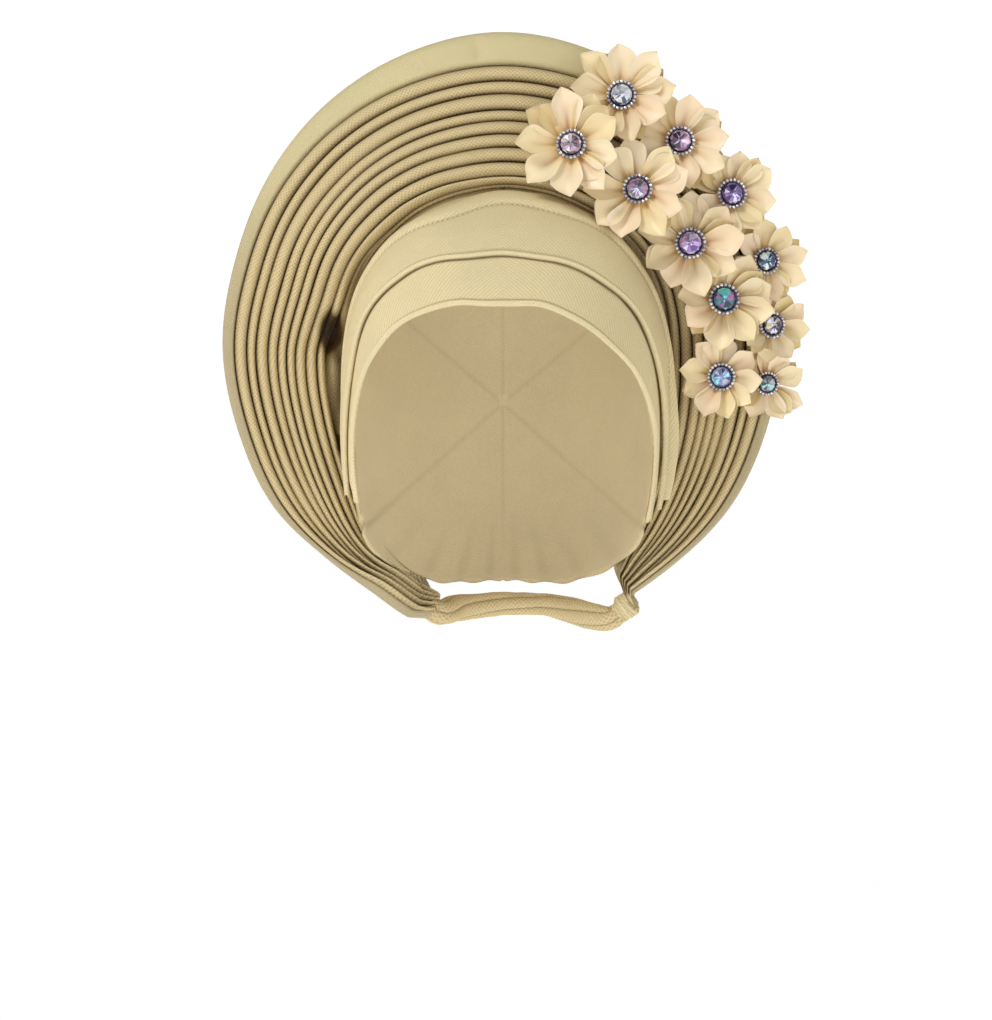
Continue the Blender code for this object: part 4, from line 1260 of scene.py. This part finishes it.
# %% Tree that sets petals round a heart
def petal_ring(tree, petal, given, count, phase, size, drop, number):
    """Copies of a petal in a ring, each with its own turn, roll, tilt, size and tint."""
    def chance(low, high, key):
        seed = maths(tree, "ADD", given["Seed"], float(key + 20 * number))
        limits = {2: low, 3: high, 8: seed}
        return add(tree, "FunctionNodeRandomValue", limits, data_type="FLOAT").outputs[1]

    spots = add(tree, "GeometryNodeMeshLine", {"Count": count, "Offset": (0.0, 0.0, 0.0)}).outputs[0]
    step = maths(tree, "DIVIDE", 2 * math.pi, count)
    order = add(tree, "GeometryNodeInputIndex").outputs[0]
    turn = maths(tree, "ADD", maths(tree, "MULTIPLY_ADD", order, step, phase), chance(-0.11, 0.11, 1))
    roll = maths(tree, "ADD", given["Roll"], chance(-0.10, 0.16, 2))
    tilt = maths(tree, "ADD", given["Tilt"], chance(-0.15, 0.07, 3))
    length = product(tree, chance(0.90, 1.05, 4), size)
    width = product(tree, chance(0.94, 1.14, 5), size)
    fullness = vector(tree, length, width, chance(0.75, 1.15, 6))
    ring = copies(tree, spots, petal, Rotation=vector(tree, roll, tilt, turn), Scale=fullness)
    lowered = vector(tree, z=product(tree, drop, -1.0))
    moves = {"Instances": ring, "Translation": lowered}
    moved = add(tree, "GeometryNodeTranslateInstances", moves).outputs[0]
    tint = chance(0.0, 0.3, 7) if number else chance(0.25, 1.0, 7)
    return add(
        tree, "GeometryNodeStoreNamedAttribute", {"Geometry": moved, "Name": "tint", "Value": tint},
        data_type="FLOAT", domain="INSTANCE",
    ).outputs[0]


def flower_tree():
    tree, given = shape_tree(
        "petals round a heart", Petals="Int", Back_Petals="Int", Seed="Int", Roll="Float", Tilt="Float",
        Bend="Float", Heart_Radius="Float", Finish="Material",
    )
    front = petal_ring(tree, given["Geometry"], given, given["Petals"], 0.0, 1.0, 0.0, 0)
    back = petal_ring(tree, given["Geometry"], given, given["Back Petals"], 0.35, 0.93, 1.7 * MM, 1)
    both = add(tree, "GeometryNodeJoinGeometry", {0: front})
    tree.links.new(back, both.inputs[0])
    real = add(tree, "GeometryNodeRealizeInstances", {0: both.outputs[0]}).outputs[0]
    place = add(tree, "GeometryNodeInputPosition").outputs[0]
    uneven = {"Vector": place, "W": given["Seed"], "Scale": 75.0, "Detail": 1.0}
    loose = add(tree, "ShaderNodeTexNoise", uneven, noise_dimensions="4D").outputs[1]
    halves = {0: loose, 1: (0.5, 0.5, 0.5)}
    centred = add(tree, "ShaderNodeVectorMath", halves, operation="SUBTRACT").outputs[0]
    far = add(tree, "ShaderNodeVectorMath", {0: place}, operation="LENGTH").outputs[1]
    push = scaled(tree, centred, product(tree, far, given["Bend"]))
    bent = add(tree, "GeometryNodeSetPosition", {"Geometry": real, "Offset": push}).outputs[0]
    ball = {"Segments": 24, "Rings": 10, "Radius": given["Heart Radius"]}
    pad = add(tree, "GeometryNodeMeshUVSphere", ball).outputs[0]
    flat = add(tree, "GeometryNodeTransform", {
        "Geometry": pad, "Translation": (0.0, 0.0, -1.3 * MM), "Scale": (1.0, 1.0, 0.28),
    }).outputs[0]
    whole = add(tree, "GeometryNodeJoinGeometry", {0: flat})
    tree.links.new(bent, whole.inputs[0])
    end_tree(tree, whole.outputs[0], given["Finish"])
    return tree


# %% Eleven flowers
BACK_PETALS = 4


def flowers():
    tree = flower_tree()
    made = []
    for number, (row, place) in enumerate(zip(FLOWERS, PLACES), start=1):
        size, petals = row[0], row[5]
        piece = new_piece(f"ribbon_flower_{number:02d}", petal_mesh(), PETAL_SATIN)
        grown(
            piece, tree, Petals=petals, Back_Petals=BACK_PETALS, Seed=10 * number, Roll=0.16, Tilt=-0.02,
            Bend=0.14, Heart_Radius=4.6 * MM, Finish=PETAL_SATIN,
        )
        piece.data.transform(place @ Matrix.Scale(size, 4))
        piece.data.shade_smooth()
        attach(piece, "root")
        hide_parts(f"flower_{number:02d}")
        made.append(piece)
    return made


flower_pieces = flowers()
print("flowers:", sum(triangles(piece) for piece in flower_pieces), "triangles")

# %% [markdown]
# ## Jewelled centres
#
# A bought centre is a stamped cup with a large foil-backed glass stone, ringed with tiny clear stones in
# claws. The cup is turned from a profile, the ring of small stones is set by a Geometry Nodes tree, and
# the large stone is cut facet by facet. Real glass over foil shows a different bright patch in every facet.
# So each facet gets its own colour from the stone's short palette, under a clear hard coat: painted
# reflections, with a painted glint on one side and painted shade on the other.

# %% Metal cup and ring of small stones
SETTING_RADIUS, SETTING_HEIGHT, SETTING_WALL, SETTING_FLOOR = 6.9 * MM, 2.9 * MM, 1.5 * MM, 0.8 * MM
STONE_CLEARANCE, STONE_CROWN = 0.25 * MM, 2.1 * MM
HALO_STONES, HALO_RADIUS, HALO_SHARE = 22, 0.82 * MM, 0.91


def metal(name, colour, roughness):
    """Plated metal, mixed towards a dark colour in random spots: painted shade that makes the gaps between
    the small stones read dark.
    """
    finish, tree, shader = new_finish(name, Metallic=1.0, Roughness=roughness)
    place = add(tree, "ShaderNodeTexCoord").outputs["Object"]
    mottled = add(tree, "ShaderNodeTexNoise", {"Vector": place, "Scale": 900.0, "Detail": 2.0}).outputs[0]
    # Painted shade: the metal mixes towards a dark colour in random spots
    tree.links.new(mixed(tree, mottled, colour, tone(58, 48, 66)), shader.inputs["Base Color"])
    return finish


CUP_METAL = metal("plated cup", tone(128, 118, 132), 0.32)


def cut_glass(name):
    """Foil-backed glass that takes each facet's colour from the mesh: the colours are painted reflections.
    """
    finish, tree, shader = new_finish(
        name, Metallic=0.55, Roughness=0.12, Coat_Weight=1.0, Coat_Roughness=0.02
    )
    facet = add(tree, "ShaderNodeAttribute", attribute_name="facet").outputs["Color"]
    place = add(tree, "ShaderNodeTexCoord").outputs["Object"]
    cloud = add(tree, "ShaderNodeTexNoise", {"Vector": place, "Scale": 700.0, "Detail": 1.0}).outputs[0]
    depth = stretched(tree, cloud, 0.3, 0.7, 0.75, 1.12)
    grey = vector(tree, depth, depth, depth)
    tree.links.new(mixed(tree, 1.0, facet, grey, "MULTIPLY"), shader.inputs["Base Color"])
    return finish


CUT_GLASS = cut_glass("foil-backed cut glass")


def cup_mesh(size):
    """Turned cup with a floor, a flared wall and a beaded lip."""
    radius, height = SETTING_RADIUS * size, SETTING_HEIGHT * size
    inner = radius - SETTING_WALL * size
    profile = (
        (0.0, SETTING_FLOOR * size),
        (inner * 0.85, SETTING_FLOOR * size),
        (inner * 0.95, height * 0.9),
        (inner * 0.97, height),
        (radius * 0.93, height * 0.82),
        (radius * 0.97, height * 0.70),
        (radius * 0.93, height * 0.55),
        (radius * 0.66, 0.0),
        (0.0, 0.0),
    )
    cage = bmesh.new()
    line = [cage.verts.new((across, 0, up)) for across, up in profile]
    edges = [cage.edges.new(pair) for pair in zip(line, line[1:])]
    bmesh.ops.spin(cage, geom=line + edges, angle=2 * math.pi, steps=48, axis=(0, 0, 1), cent=(0, 0, 0))
    bmesh.ops.remove_doubles(cage, verts=cage.verts, dist=0.002 * MM)
    bmesh.ops.recalc_face_normals(cage, faces=cage.faces)
    mesh = closed_up(cage, "cup")
    mesh.shade_smooth()
    return mesh


def halo_tree():
    """Small stones and claws round the cup that comes in."""
    tree, given = shape_tree(
        "ring of small stones", Count="Int", Ring_Radius="Float", Height="Float", Stone_Radius="Float",
        Seed="Int", Metal="Material", Glass="Material",
    )
    around = {"Vertices": given["Count"], "Radius": given["Ring Radius"]}
    circle = add(tree, "GeometryNodeMeshCircle", around).outputs[0]
    lifted = add(tree, "GeometryNodeTransform", {
        "Geometry": circle, "Translation": vector(tree, z=given["Height"]),
    }).outputs[0]
    small = {"Radius": given["Stone Radius"], "Subdivisions": 2}
    gem = add(tree, "GeometryNodeMeshIcoSphere", small).outputs[0]
    glass = add(tree, "GeometryNodeSetMaterial", {"Geometry": gem, "Material": given["Glass"]}).outputs[0]
    turns = {1: (3.0, 3.0, 3.0), 8: given["Seed"]}
    spin = add(tree, "FunctionNodeRandomValue", turns, data_type="FLOAT_VECTOR").outputs[0]
    stones = copies(tree, lifted, glass, Rotation=spin)
    # Each small stone gets a random grey: painted reflection, brighter on some stones than on others
    shades = {2: 0.3, 3: 1.0, 8: given["Seed"]}
    shade = add(tree, "FunctionNodeRandomValue", shades, data_type="FLOAT").outputs[1]
    grey = vector(tree, shade, shade, maths(tree, "POWER", shade, 0.8))
    tinted = add(
        tree, "GeometryNodeStoreNamedAttribute", {"Geometry": stones, "Name": "facet", "Value": grey},
        data_type="FLOAT_VECTOR", domain="INSTANCE",
    ).outputs[0]
    half_step = maths(tree, "DIVIDE", math.pi, given["Count"])
    turned = add(tree, "GeometryNodeTransform", {
        "Geometry": lifted, "Rotation": vector(tree, z=half_step), "Scale": (0.86, 0.86, 1.0),
    }).outputs[0]
    bead = {"Radius": product(tree, given["Stone Radius"], 0.5), "Subdivisions": 1}
    claw = add(tree, "GeometryNodeMeshIcoSphere", bead).outputs[0]
    bright = add(tree, "GeometryNodeSetMaterial", {"Geometry": claw, "Material": given["Metal"]}).outputs[0]
    claws = copies(tree, turned, bright)
    plated = {"Geometry": given["Geometry"], "Material": given["Metal"]}
    cup = add(tree, "GeometryNodeSetMaterial", plated).outputs[0]
    whole = add(tree, "GeometryNodeJoinGeometry", {0: cup})
    tree.links.new(tinted, whole.inputs[0])
    tree.links.new(claws, whole.inputs[0])
    real = add(tree, "GeometryNodeRealizeInstances", {0: whole.outputs[0]}).outputs[0]
    add(tree, "NodeGroupOutput", {0: real})
    return tree


def settings():
    tree = halo_tree()
    made = []
    for number, (row, place) in enumerate(zip(FLOWERS, PLACES), start=1):
        size = row[1]
        piece = new_piece(f"jewel_setting_{number:02d}", cup_mesh(size), CUP_METAL)
        grown(
            piece, tree, Count=HALO_STONES, Ring_Radius=SETTING_RADIUS * HALO_SHARE * size,
            Stone_Radius=HALO_RADIUS * size, Height=SETTING_HEIGHT * 0.93 * size, Seed=number,
            Metal=CUP_METAL, Glass=CUT_GLASS,
        )
        piece.data.transform(place @ Matrix.Translation((0, 0, SEAT_GAP)))
        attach(piece, "root")
        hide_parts(f"setting_{number:02d}")
        made.append(piece)
    return made


setting_pieces = settings()
print("settings:", sum(triangles(piece) for piece in setting_pieces), "triangles")

# %% Cut stones, each with its own palette
# Facet colours painted in place of reflections: deep is painted shade, glint a painted glint
STONE_PALETTES = (
    # main, second, deep, glint
    ((196, 208, 222), (232, 224, 232), (70, 88, 108), (244, 250, 255)),
    ((196, 168, 190), (150, 140, 150), (112, 92, 116), (252, 240, 236)),
    ((188, 150, 188), (150, 120, 160), (62, 62, 84), (240, 216, 240)),
    ((206, 164, 210), (160, 132, 168), (108, 112, 110), (214, 232, 255)),
    ((156, 120, 190), (128, 96, 166), (58, 48, 110), (226, 232, 255)),
    ((190, 164, 214), (160, 128, 196), (112, 84, 158), (236, 222, 246)),
    ((66, 84, 130), (170, 206, 214), (24, 30, 62), (236, 255, 246)),
    ((74, 128, 148), (148, 90, 150), (42, 58, 80), (120, 232, 236)),
    ((150, 148, 160), (222, 218, 160), (60, 56, 78), (226, 220, 250)),
    ((136, 140, 196), (180, 186, 204), (84, 84, 140), (150, 226, 240)),
    ((112, 128, 140), (176, 160, 172), (60, 60, 76), (160, 230, 226)),
)
STONE_SIDES, STONE_TABLE = 12, 0.30
# Way of each stone's painted glint, in degrees
GLINT_WAYS = (40, 95, 10, 250, 265, 60, 100, 70, 110, 200, 300)


def stone_mesh(number, size):
    """Round stone with a table, three rows of crown facets, a girdle and a cut-off pavilion."""
    inner = (SETTING_RADIUS - SETTING_WALL) * size
    girdle = inner - STONE_CLEARANCE * 2
    depth = (SETTING_HEIGHT - SETTING_FLOOR) * size - STONE_CLEARANCE
    crown = STONE_CROWN * size
    half = math.pi / STONE_SIDES
    rings = (
        # radius, height, turn
        (girdle * 0.62, 0.0, 0.0),
        (girdle * 0.97, depth, 0.0),
        (girdle, depth + 0.22 * crown, half),
        (girdle * 0.82, depth + 0.70 * crown, 0.0),
        (girdle * STONE_TABLE, depth + 0.96 * crown, half),
    )
    cage = bmesh.new()
    loops = []
    for radius, height, turn in rings:
        ways = [turn + 2 * half * k for k in range(STONE_SIDES)]
        loops.append([
            cage.verts.new((radius * math.cos(way), radius * math.sin(way), height)) for way in ways
        ])
    for (lower, upper), (low_row, high_row) in zip(zip(loops, loops[1:]), zip(rings, rings[1:])):
        ahead = 1 if high_row[2] < low_row[2] else 0
        for k in range(STONE_SIDES):
            following = (k + 1) % STONE_SIDES
            cage.faces.new((lower[k], lower[following], upper[(k + ahead) % STONE_SIDES]))
            cage.faces.new((upper[k], lower[(k + 1 - ahead) % STONE_SIDES], upper[following]))
    cage.faces.new(loops[0])
    top = cage.verts.new((0, 0, depth + crown * 1.04))
    for k in range(STONE_SIDES):
        cage.faces.new((loops[-1][k], loops[-1][(k + 1) % STONE_SIDES], top))
    bmesh.ops.recalc_face_normals(cage, faces=cage.faces)
    chance = random.Random(40 + number)
    palette = [tone(*colour)[:3] for colour in STONE_PALETTES[number - 1]]
    glint = math.radians(GLINT_WAYS[number - 1])
    colours = []
    for face in cage.faces:
        middle = face.calc_center_median()
        # Painted glint on facets facing the glint's way, painted shade on those facing away
        facing = math.cos(math.atan2(middle.y, middle.x) - glint)
        near_glint, opposite = (1, 2, 1, 7), (3, 2, 6, 1)
        weights = near_glint if facing > 0.75 else opposite if facing < -0.45 else (6, 4, 3, 1)
        colours.append(chance.choices(palette, weights=weights)[0])
    mesh = closed_up(cage, f"cut_stone_{number:02d}")
    shades = mesh.attributes.new("facet", "FLOAT_COLOR", "FACE")
    for face, colour in enumerate(colours):
        shades.data[face].color = (*colour, 1.0)
    return mesh


def stones():
    made = []
    for number, (row, place) in enumerate(zip(FLOWERS, PLACES), start=1):
        size = row[1]
        piece = new_piece(f"cut_stone_{number:02d}", stone_mesh(number, size), CUT_GLASS)
        rise = SEAT_GAP + SETTING_FLOOR * size + STONE_CLEARANCE
        piece.data.transform(place @ Matrix.Translation((0, 0, rise)))
        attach(piece, "root")
        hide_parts(f"stone_{number:02d}")
        made.append(piece)
    return made


stone_pieces = stones()
print("stones:", sum(triangles(piece) for piece in stone_pieces), "triangles")

# %% [markdown]
# ## The twist behind the neck and the knot
#
# What is left of the long cloth is twisted into a rope behind the neck, and its end is wound round the
# gathered pleats at one side. A twisted cloth isn't round: it shows as many soft strands as it had folds.
# So the rope's section has five lobes with narrow creases between them, it turns as it runs, and at
# both ends it draws in to the gathered bundle of pleats that it comes out of. The knot is 3.4 turns of a
# flat cloth tube over a short core.

# %% Twisted roll
ROLL_RADIUS, ROLL_LOBE, ROLL_TWIST = 6.5 * MM, 1.0 * MM, math.radians(640.0)
ROLL_STRANDS, ROLL_STATIONS, ROLL_SIDES = 5, 150, 80
NAPE_ROUTE = ((160, 124), (172, 127), (185, 127), (198, 124))


def smooth_route(points, count):
    """Points evenly spread along a smooth curve through the given ones."""
    fine = []
    for i in range(len(points) - 1):
        before, after = points[max(0, i - 1)], points[min(len(points) - 1, i + 2)]
        for k in range(24):
            part = k / 24
            square, cube = part * part, part * part * part
            fine.append(
                points[i] * (1 - 3 * square + 2 * cube)
                + (points[i + 1] - before) / 2 * (part - 2 * square + cube)
                + points[i + 1] * (3 * square - 2 * cube)
                + (after - points[i]) / 2 * (cube - square)
            )
    fine.append(points[-1])
    line = np.array([tuple(p) for p in fine])
    run = np.concatenate([[0.0], np.cumsum(np.linalg.norm(np.diff(line, axis=0), axis=1))])
    even = np.linspace(0.0, run[-1], count)
    return [Vector(p) for p in zip(*(np.interp(even, run, line[:, axis]).tolist() for axis in range(3)))]


def nape_roll():
    centre, way, wide = knot_frame()[:3]
    stop, stop_way = fan_end(FAN_SECTIONS[0][0])[:2]
    start = centre + way * (KNOT_LENGTH / 2 - BUNDLE_INTO_KNOT)
    stop = stop + stop_way * (BUNDLE_PAST_END - 2 * MM)
    lift = CAP_WALL + SEAT_GAP + ROLL_RADIUS + ROLL_LOBE
    middle = [on_head(bearing, turn, lift) for bearing, turn in NAPE_ROUTE]
    route = [start, start + way * ROLL_RADIUS, *middle, stop + stop_way * ROLL_RADIUS, stop]
    centres = smooth_route(route, ROLL_STATIONS)
    side = (wide - way * wide.dot(way)).normalized()
    sides = []
    for i, point in enumerate(centres):
        ahead, behind = centres[min(i + 1, ROLL_STATIONS - 1)], centres[max(i - 1, 0)]
        run = (ahead - behind).normalized()
        side = (side - run * side.dot(run)).normalized()
        sides.append((side, run.cross(side)))
    rings, creases = [], []
    for i, point in enumerate(centres):
        share = i / (ROLL_STATIONS - 1)
        side, other = sides[i]
        tight = max(0.0, 1 - share / 0.10, 1 - (1 - share) / 0.06) ** 1.5
        ring, dark = [], []
        for k in range(ROLL_SIDES):
            angle = 2 * math.pi * k / ROLL_SIDES
            strand = abs(math.sin((angle * ROLL_STRANDS + ROLL_TWIST * share) / 2)) ** 0.55
            place = point + side * math.cos(angle) * 4 * MM + other * math.sin(angle) * 4 * MM
            rumple = noise.noise(place * 160) * 0.45 * MM
            swell = ROLL_RADIUS * (0.80 + 0.08 * math.sin(3 * math.pi * share))
            radius = (swell + ROLL_LOBE * 1.5 * (strand - 0.5) + rumple) * (1 - 0.22 * tight)
            across = side * (radius * math.cos(angle)) + other * (radius * math.sin(angle))
            ring.append(tuple(point + across))
            # Painted shade in the creases between the strands
            dark.append(max(0.0, 0.75 - 1.6 * strand))
        rings.append(ring)
        creases.append(dark)
    grid = np.array(rings)
    around = ring_lengths(grid)
    along = np.repeat(run_lengths(grid).mean(axis=1, keepdims=True), ROLL_SIDES, axis=1)
    mesh = lofted("nape_roll", grid, along, around, {"crease": np.array(creases)})
    return new_piece("nape_roll_cloth", mesh, PLEAT_CLOTH)


roll = nape_roll()
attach(roll, "root")
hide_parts("nape_roll")
print("nape roll:", triangles(roll), "triangles")

# %% Knot of wound cloth
WRAP_TURNS, WRAP_STATIONS, WRAP_SIDES = 3.4, 260, 22
WRAP_HALF_WIDTH, WRAP_HALF_DEPTH, WRAP_RADIUS = 2.25 * MM, 1.7 * MM, 4.5 * MM
CORE_RADIUS = 4.0 * MM


def wound_cloth(centre, way, wide, front):
    """A flat tube of cloth wound in a helix, its two ends tucked in."""
    rings, creases = [], []
    for i in range(WRAP_STATIONS):
        share = i / (WRAP_STATIONS - 1)
        angle = 2 * math.pi * WRAP_TURNS * share + 0.6
        outward = wide * math.cos(angle) + front * math.sin(angle)
        around = -wide * math.sin(angle) + front * math.cos(angle)
        tuck = min(1.0, share / 0.06, (1 - share) / 0.06)
        sway = 0.5 * MM * math.sin(angle * 0.7 + 1.1)
        travel = (share - 0.5) * (KNOT_LENGTH - 2 * WRAP_HALF_WIDTH) + sway
        run = (around * (2 * math.pi * WRAP_TURNS * WRAP_RADIUS) + way * KNOT_LENGTH).normalized()
        flat = (way - run * way.dot(run)).normalized()
        middle = centre + outward * (WRAP_RADIUS - (1 - tuck) * 1.6 * MM) + way * travel
        ring, dark = [], []
        for k in range(WRAP_SIDES):
            turn = 2 * math.pi * k / WRAP_SIDES
            fold = 0.10 * math.cos(5 * turn + 9 * share) + 0.06 * math.cos(9 * turn - 14 * share)
            size = (1 + fold) * (0.35 + 0.65 * tuck)
            sideways = flat * (WRAP_HALF_WIDTH * size * math.cos(turn))
            ring.append(tuple(middle + sideways + outward * (WRAP_HALF_DEPTH * size * math.sin(turn))))
            # Painted shade in the hollows of the cloth's folds
            dark.append(max(0.0, -fold * 3.2))
        rings.append(ring)
        creases.append(dark)
    grid = np.array(rings)
    along = np.repeat(run_lengths(grid).mean(axis=1, keepdims=True), WRAP_SIDES, axis=1)
    return lofted("knot_wrap", grid, along, ring_lengths(grid), {"crease": np.array(creases)})


def knot_core(centre, way, wide, front):
    """The gathered bundle that the cloth is wound round, rounded at both ends."""
    rings = []
    for i in range(25):
        share = i / 24
        belly = math.sin(math.pi * (0.12 + 0.76 * share)) ** 0.6
        middle = centre + way * ((share - 0.5) * KNOT_LENGTH)
        ring = []
        for turn in (2 * math.pi * k / 36 for k in range(36)):
            outward = wide * math.cos(turn) + front * math.sin(turn)
            ring.append(tuple(middle + outward * CORE_RADIUS * belly * (1 + 0.08 * math.cos(6 * turn))))
        rings.append(ring)
    grid = np.array(rings)
    # The core lies under the wound cloth and is painted half dark as shade
    marks = {"crease": np.full(grid.shape[:2], 0.5)}
    return lofted("knot_core", grid, run_lengths(grid), ring_lengths(grid), marks)


def knot():
    placing = knot_frame()
    cage = bmesh.new()
    for part in (wound_cloth(*placing), knot_core(*placing)):
        cage.from_mesh(part)
        bpy.data.meshes.remove(part)
    mesh = closed_up(cage, "side_knot")
    mesh.shade_smooth()
    return new_piece("side_knot_cloth", mesh, BAND_CLOTH)


tie = knot()
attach(tie, "root")
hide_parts("side_knot")
print("knot:", triangles(tie), "triangles")

# %% [markdown]
# ## Stitches
#
# The crown band's outer strip is closed by a row of topstitching. Thread lies on the cloth in short,
# slightly sunk dashes, all alike, so one dash is made and a Geometry Nodes tree lays it along the seam
# line. The tree's inputs are the stitch length, the step and the thread's thickness.

# %% Row of stitches on the crown band
STITCH_STEP, STITCH_LENGTH, THREAD_RADIUS = 2.4 * MM, 1.7 * MM, 0.27 * MM
SEAM_FROM, SEAM_TO = -92.0, 98.0


def thread_finish():
    finish, tree, shader = new_finish("pale thread", Roughness=0.6)
    place = add(tree, "ShaderNodeTexCoord").outputs["Object"]
    twist = add(tree, "ShaderNodeTexNoise", {"Vector": place, "Scale": 3000.0}).outputs[0]
    colour = mixed(tree, twist, tone(244, 232, 196), tone(214, 196, 150))
    tree.links.new(colour, shader.inputs["Base Color"])
    return finish


THREAD = thread_finish()


def stitch_tree():
    tree, given = shape_tree(
        "stitches along a seam", Step="Float", Stitch_Length="Float", Thread_Radius="Float",
        Finish="Material",
    )
    line = add(tree, "GeometryNodeMeshToCurve", {"Mesh": given["Geometry"]}).outputs[0]
    spacing = {"Curve": line, "Length": given["Step"]}
    even = add(tree, "GeometryNodeResampleCurve", spacing, mode="LENGTH").outputs[0]
    way = add(tree, "GeometryNodeInputTangent").outputs[0]
    aligned = add(tree, "FunctionNodeAlignRotationToVector", {"Vector": way}, axis="Z").outputs[0]
    ball = {"Segments": 8, "Rings": 6, "Radius": given["Thread Radius"]}
    dash = add(tree, "GeometryNodeMeshUVSphere", ball).outputs[0]
    longer = maths(tree, "DIVIDE", given["Stitch Length"], product(tree, given["Thread Radius"], 2.0))
    laid = copies(tree, even, dash, Rotation=aligned, Scale=vector(tree, 1.0, 1.0, longer))
    end_tree(tree, laid, given["Finish"])
    return tree


def seam_mesh():
    """The seam line as a plain chain of edges, just over the cloth."""
    points = []
    for bearing in band_bearings():
        if SEAM_FROM <= bearing <= SEAM_TO:
            low, out, stand_off, seam = crown_frame(bearing)
            height = crown_lift(low, out, stand_off, seam) + CROWN_CLOTH - SEAM_DEPTH + THREAD_RADIUS * 0.6
            points.append(tuple(on_head(bearing, seam, height)))
    edges = [(k, k + 1) for k in range(len(points) - 1)]
    mesh = bpy.data.meshes.new("seam_lines")
    mesh.from_pydata(points, edges, [])
    return mesh


stitches = new_piece("topstitching", seam_mesh(), THREAD)
grown(
    stitches, stitch_tree(), Step=STITCH_STEP, Stitch_Length=STITCH_LENGTH, Thread_Radius=THREAD_RADIUS,
    Finish=THREAD,
)
stitches.data.shade_smooth()
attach(stitches, "root")
print("stitches:", triangles(stitches), "triangles")
